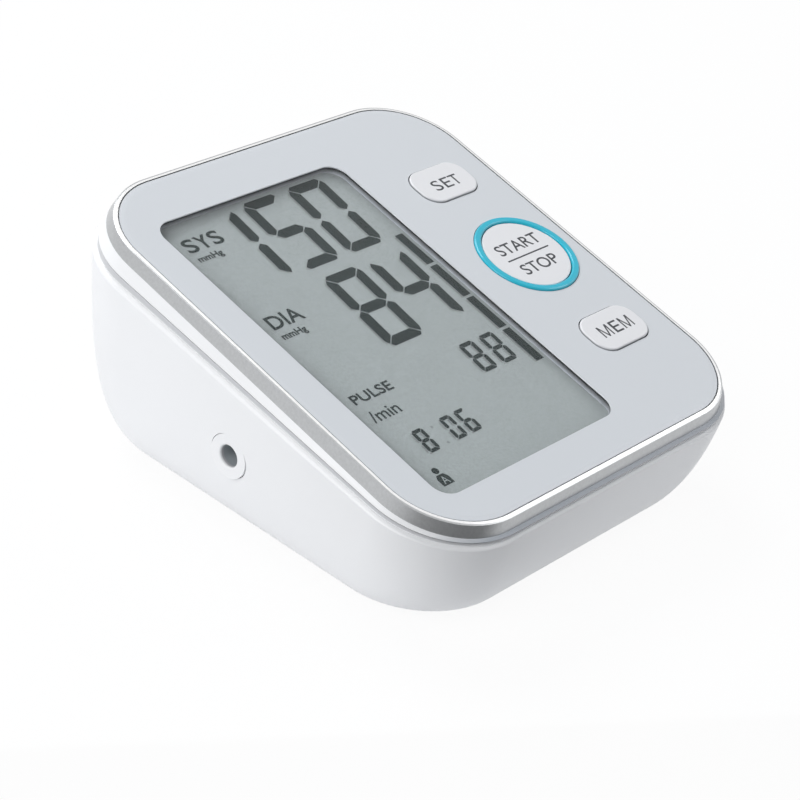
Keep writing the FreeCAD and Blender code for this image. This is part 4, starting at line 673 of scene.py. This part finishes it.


# ---- Air socket ---------------------------------------------------------------------------------
# A moulded socket pressed into the left wall, with a white face plate level with it, and the soft sleeve
# in it that grips the hose's ribbed plug. Painted shade turns the mouth's colour grey where it goes in.
MOUTH_PAINTED_SHADE = (0.50, 0.50, 0.52)
CAP_FACE = reach("jack_cap", ACROSS)[0]
MOUTH_START, MOUTH_FULL = CAP_FACE + 0.00055, CAP_FACE + 0.0008
cap_painted_shade = finish("cap_painted_shade", CASE_COLOUR, **CASE_SKIN,
                    second=(MOUTH_PAINTED_SHADE, ACROSS, MOUTH_START, MOUTH_FULL))
sleeve_grey = finish("sleeve_grey", (0.36, 0.39, 0.41), 0.55, grain=2000.0, depth=0.00001, tone=0.05,
                     tone_scale=150.0)
dress(cap_painted_shade, "jack_cap")
dress(case_white, "air_jack")
dress(sleeve_grey, "jack_seal")


# ---- Feet, case screws and adapter socket -------------------------------------------------------
# Four grey rubber discs glued into the floor, two of them over the heads of the plated case screws, and a
# black moulded adapter socket in the right wall.
rubber_grey = finish("rubber_grey", (0.10, 0.105, 0.11), 0.75, grain=1500.0, depth=0.00003, tone=0.12,
                     tone_scale=120.0)
plated = finish("plated_steel", (0.60, 0.60, 0.61), 0.32, grain=5000.0, depth=0.000004, tone=0.08,
                tone_scale=200.0, metallic=1.0)
black_mould = finish("black_mould", (0.018, 0.018, 0.020), 0.45, grain=2500.0, depth=0.000012, tone=0.15,
                     tone_scale=90.0)
dress(rubber_grey, "rubber_feet")
dress(plated, "case_screws")
dress(black_mould, "dc_inlet")


# ---- Display carrier ----------------------------------------------------------------------------
# Behind the cell a white reflector sheet lies in a moulded carrier of natural resin. Strips of clear
# silicone with conducting layers, squeezed between cell and board, join the two.
white_sheet = finish("white_sheet", (0.78, 0.80, 0.78), 0.6, grain=1500.0, depth=0.000004, tone=0.03)
natural_mould = finish("natural_mould", (0.68, 0.67, 0.63), 0.5, grain=2200.0, depth=0.00001, tone=0.04,
                       tone_scale=60.0)
silicone_clear = finish("silicone_clear", (0.62, 0.62, 0.57), 0.5, grain=900.0, depth=0.00001, tone=0.06,
                        tone_scale=120.0)
dress(white_sheet, "lcd_reflector")
dress(natural_mould, "lcd_holder")
dress(silicone_clear, "zebra_strips")


# ---- Board and its parts ------------------------------------------------------------------------
# A green lacquered glass-epoxy board, held by plated screws, with its soldered components and the three
# tact switches under the keys.
board_green = finish("board_green", (0.012, 0.10, 0.035), 0.35, grain=1200.0, depth=0.000008, tone=0.3,
                     tone_scale=350.0)
capacitor_sleeve = finish("capacitor_sleeve", (0.035, 0.045, 0.09), 0.4, grain=2000.0, depth=0.000004,
                          tone=0.1)
ivory_mould = finish("ivory_mould", (0.72, 0.68, 0.55), 0.45, grain=2500.0, depth=0.00001, tone=0.04)
switch_grey = finish("switch_grey", (0.04, 0.04, 0.043), 0.5, grain=2500.0, depth=0.00001, tone=0.1)
dress(board_green, "main_board")
dress(plated, "board_screws", "clock_crystal")
dress(black_mould, "control_chip", "piezo_buzzer", "pressure_sensor", "tact_switches")
dress(capacitor_sleeve, "board_capacitors")
dress(ivory_mould, "board_connectors")
dress(switch_grey, "start_switch_plunger", "set_switch_plunger", "mem_switch_plunger")


# ---- Pump ---------------------------------------------------------------------------------------
# A small brushed motor in a plated can drives a wobble plate and a rubber diaphragm in a moulded head. A
# sleeve of dark foam keeps its noise from the case.
foam_dark = finish("foam_dark", (0.075, 0.08, 0.082), 0.85, grain=1800.0, depth=0.0001, tone=0.2,
                   tone_scale=300.0)
magnet_dark = finish("magnet_dark", (0.03, 0.03, 0.032), 0.6, grain=2500.0, depth=0.00001, tone=0.15,
                     tone_scale=200.0)
copper = finish("copper_winding", (0.52, 0.18, 0.055), 0.35, grain=4000.0, depth=0.00003, tone=0.2,
                tone_scale=600.0, metallic=1.0)
ground_steel = finish("ground_steel", (0.52, 0.52, 0.54), 0.22, grain=8000.0, depth=0.000002, tone=0.05,
                      tone_scale=300.0, metallic=1.0)
dress(plated, "pump_motor")
dress(black_mould, "pump_motor_cap", "pump_head")
dress(magnet_dark, "pump_magnets")
dress(copper, "pump_armature")
dress(ground_steel, "pump_shaft")
dress(natural_mould, "pump_wobble_plate")
dress(silicone_clear, "pump_diaphragm")
dress(foam_dark, "pump_sleeve")


# ---- Valve and air lines ------------------------------------------------------------------------
# A solenoid lets the cuff's air out: copper coil in a plated yoke, moulded body, and a ground plunger on a
# spring. Silicone hoses pushed on to a moulded manifold join it to the pump, the sensor and the socket.
dress(natural_mould, "valve_body", "air_manifold")
dress(plated, "valve_yoke", "valve_spring")
dress(copper, "valve_coil")
dress(ground_steel, "valve_plunger")
dress(silicone_clear, "jack_hose", "valve_hose", "pump_hose", "sensor_hose")


# ---- Cells, contacts and leads ------------------------------------------------------------------
# Four wrapped cells with no name on them, between plated springs and plates in the battery bay's end walls,
# and red sleeved leads soldered to the contacts, the pump, the valve and the adapter socket.
cell_wrap = finish("cell_wrap", (0.06, 0.075, 0.10), 0.3, grain=1500.0, depth=0.000003, tone=0.06,
                   tone_scale=60.0, coat=0.6)
lead_red = finish("lead_red", (0.45, 0.012, 0.01), 0.45, grain=1200.0, depth=0.00001, tone=0.1,
                  tone_scale=300.0)
dress(cell_wrap, "batteries")
dress(plated, "battery_springs", "battery_plates")
dress(lead_red, "battery_leads", "adapter_leads", "valve_leads", "pump_leads")
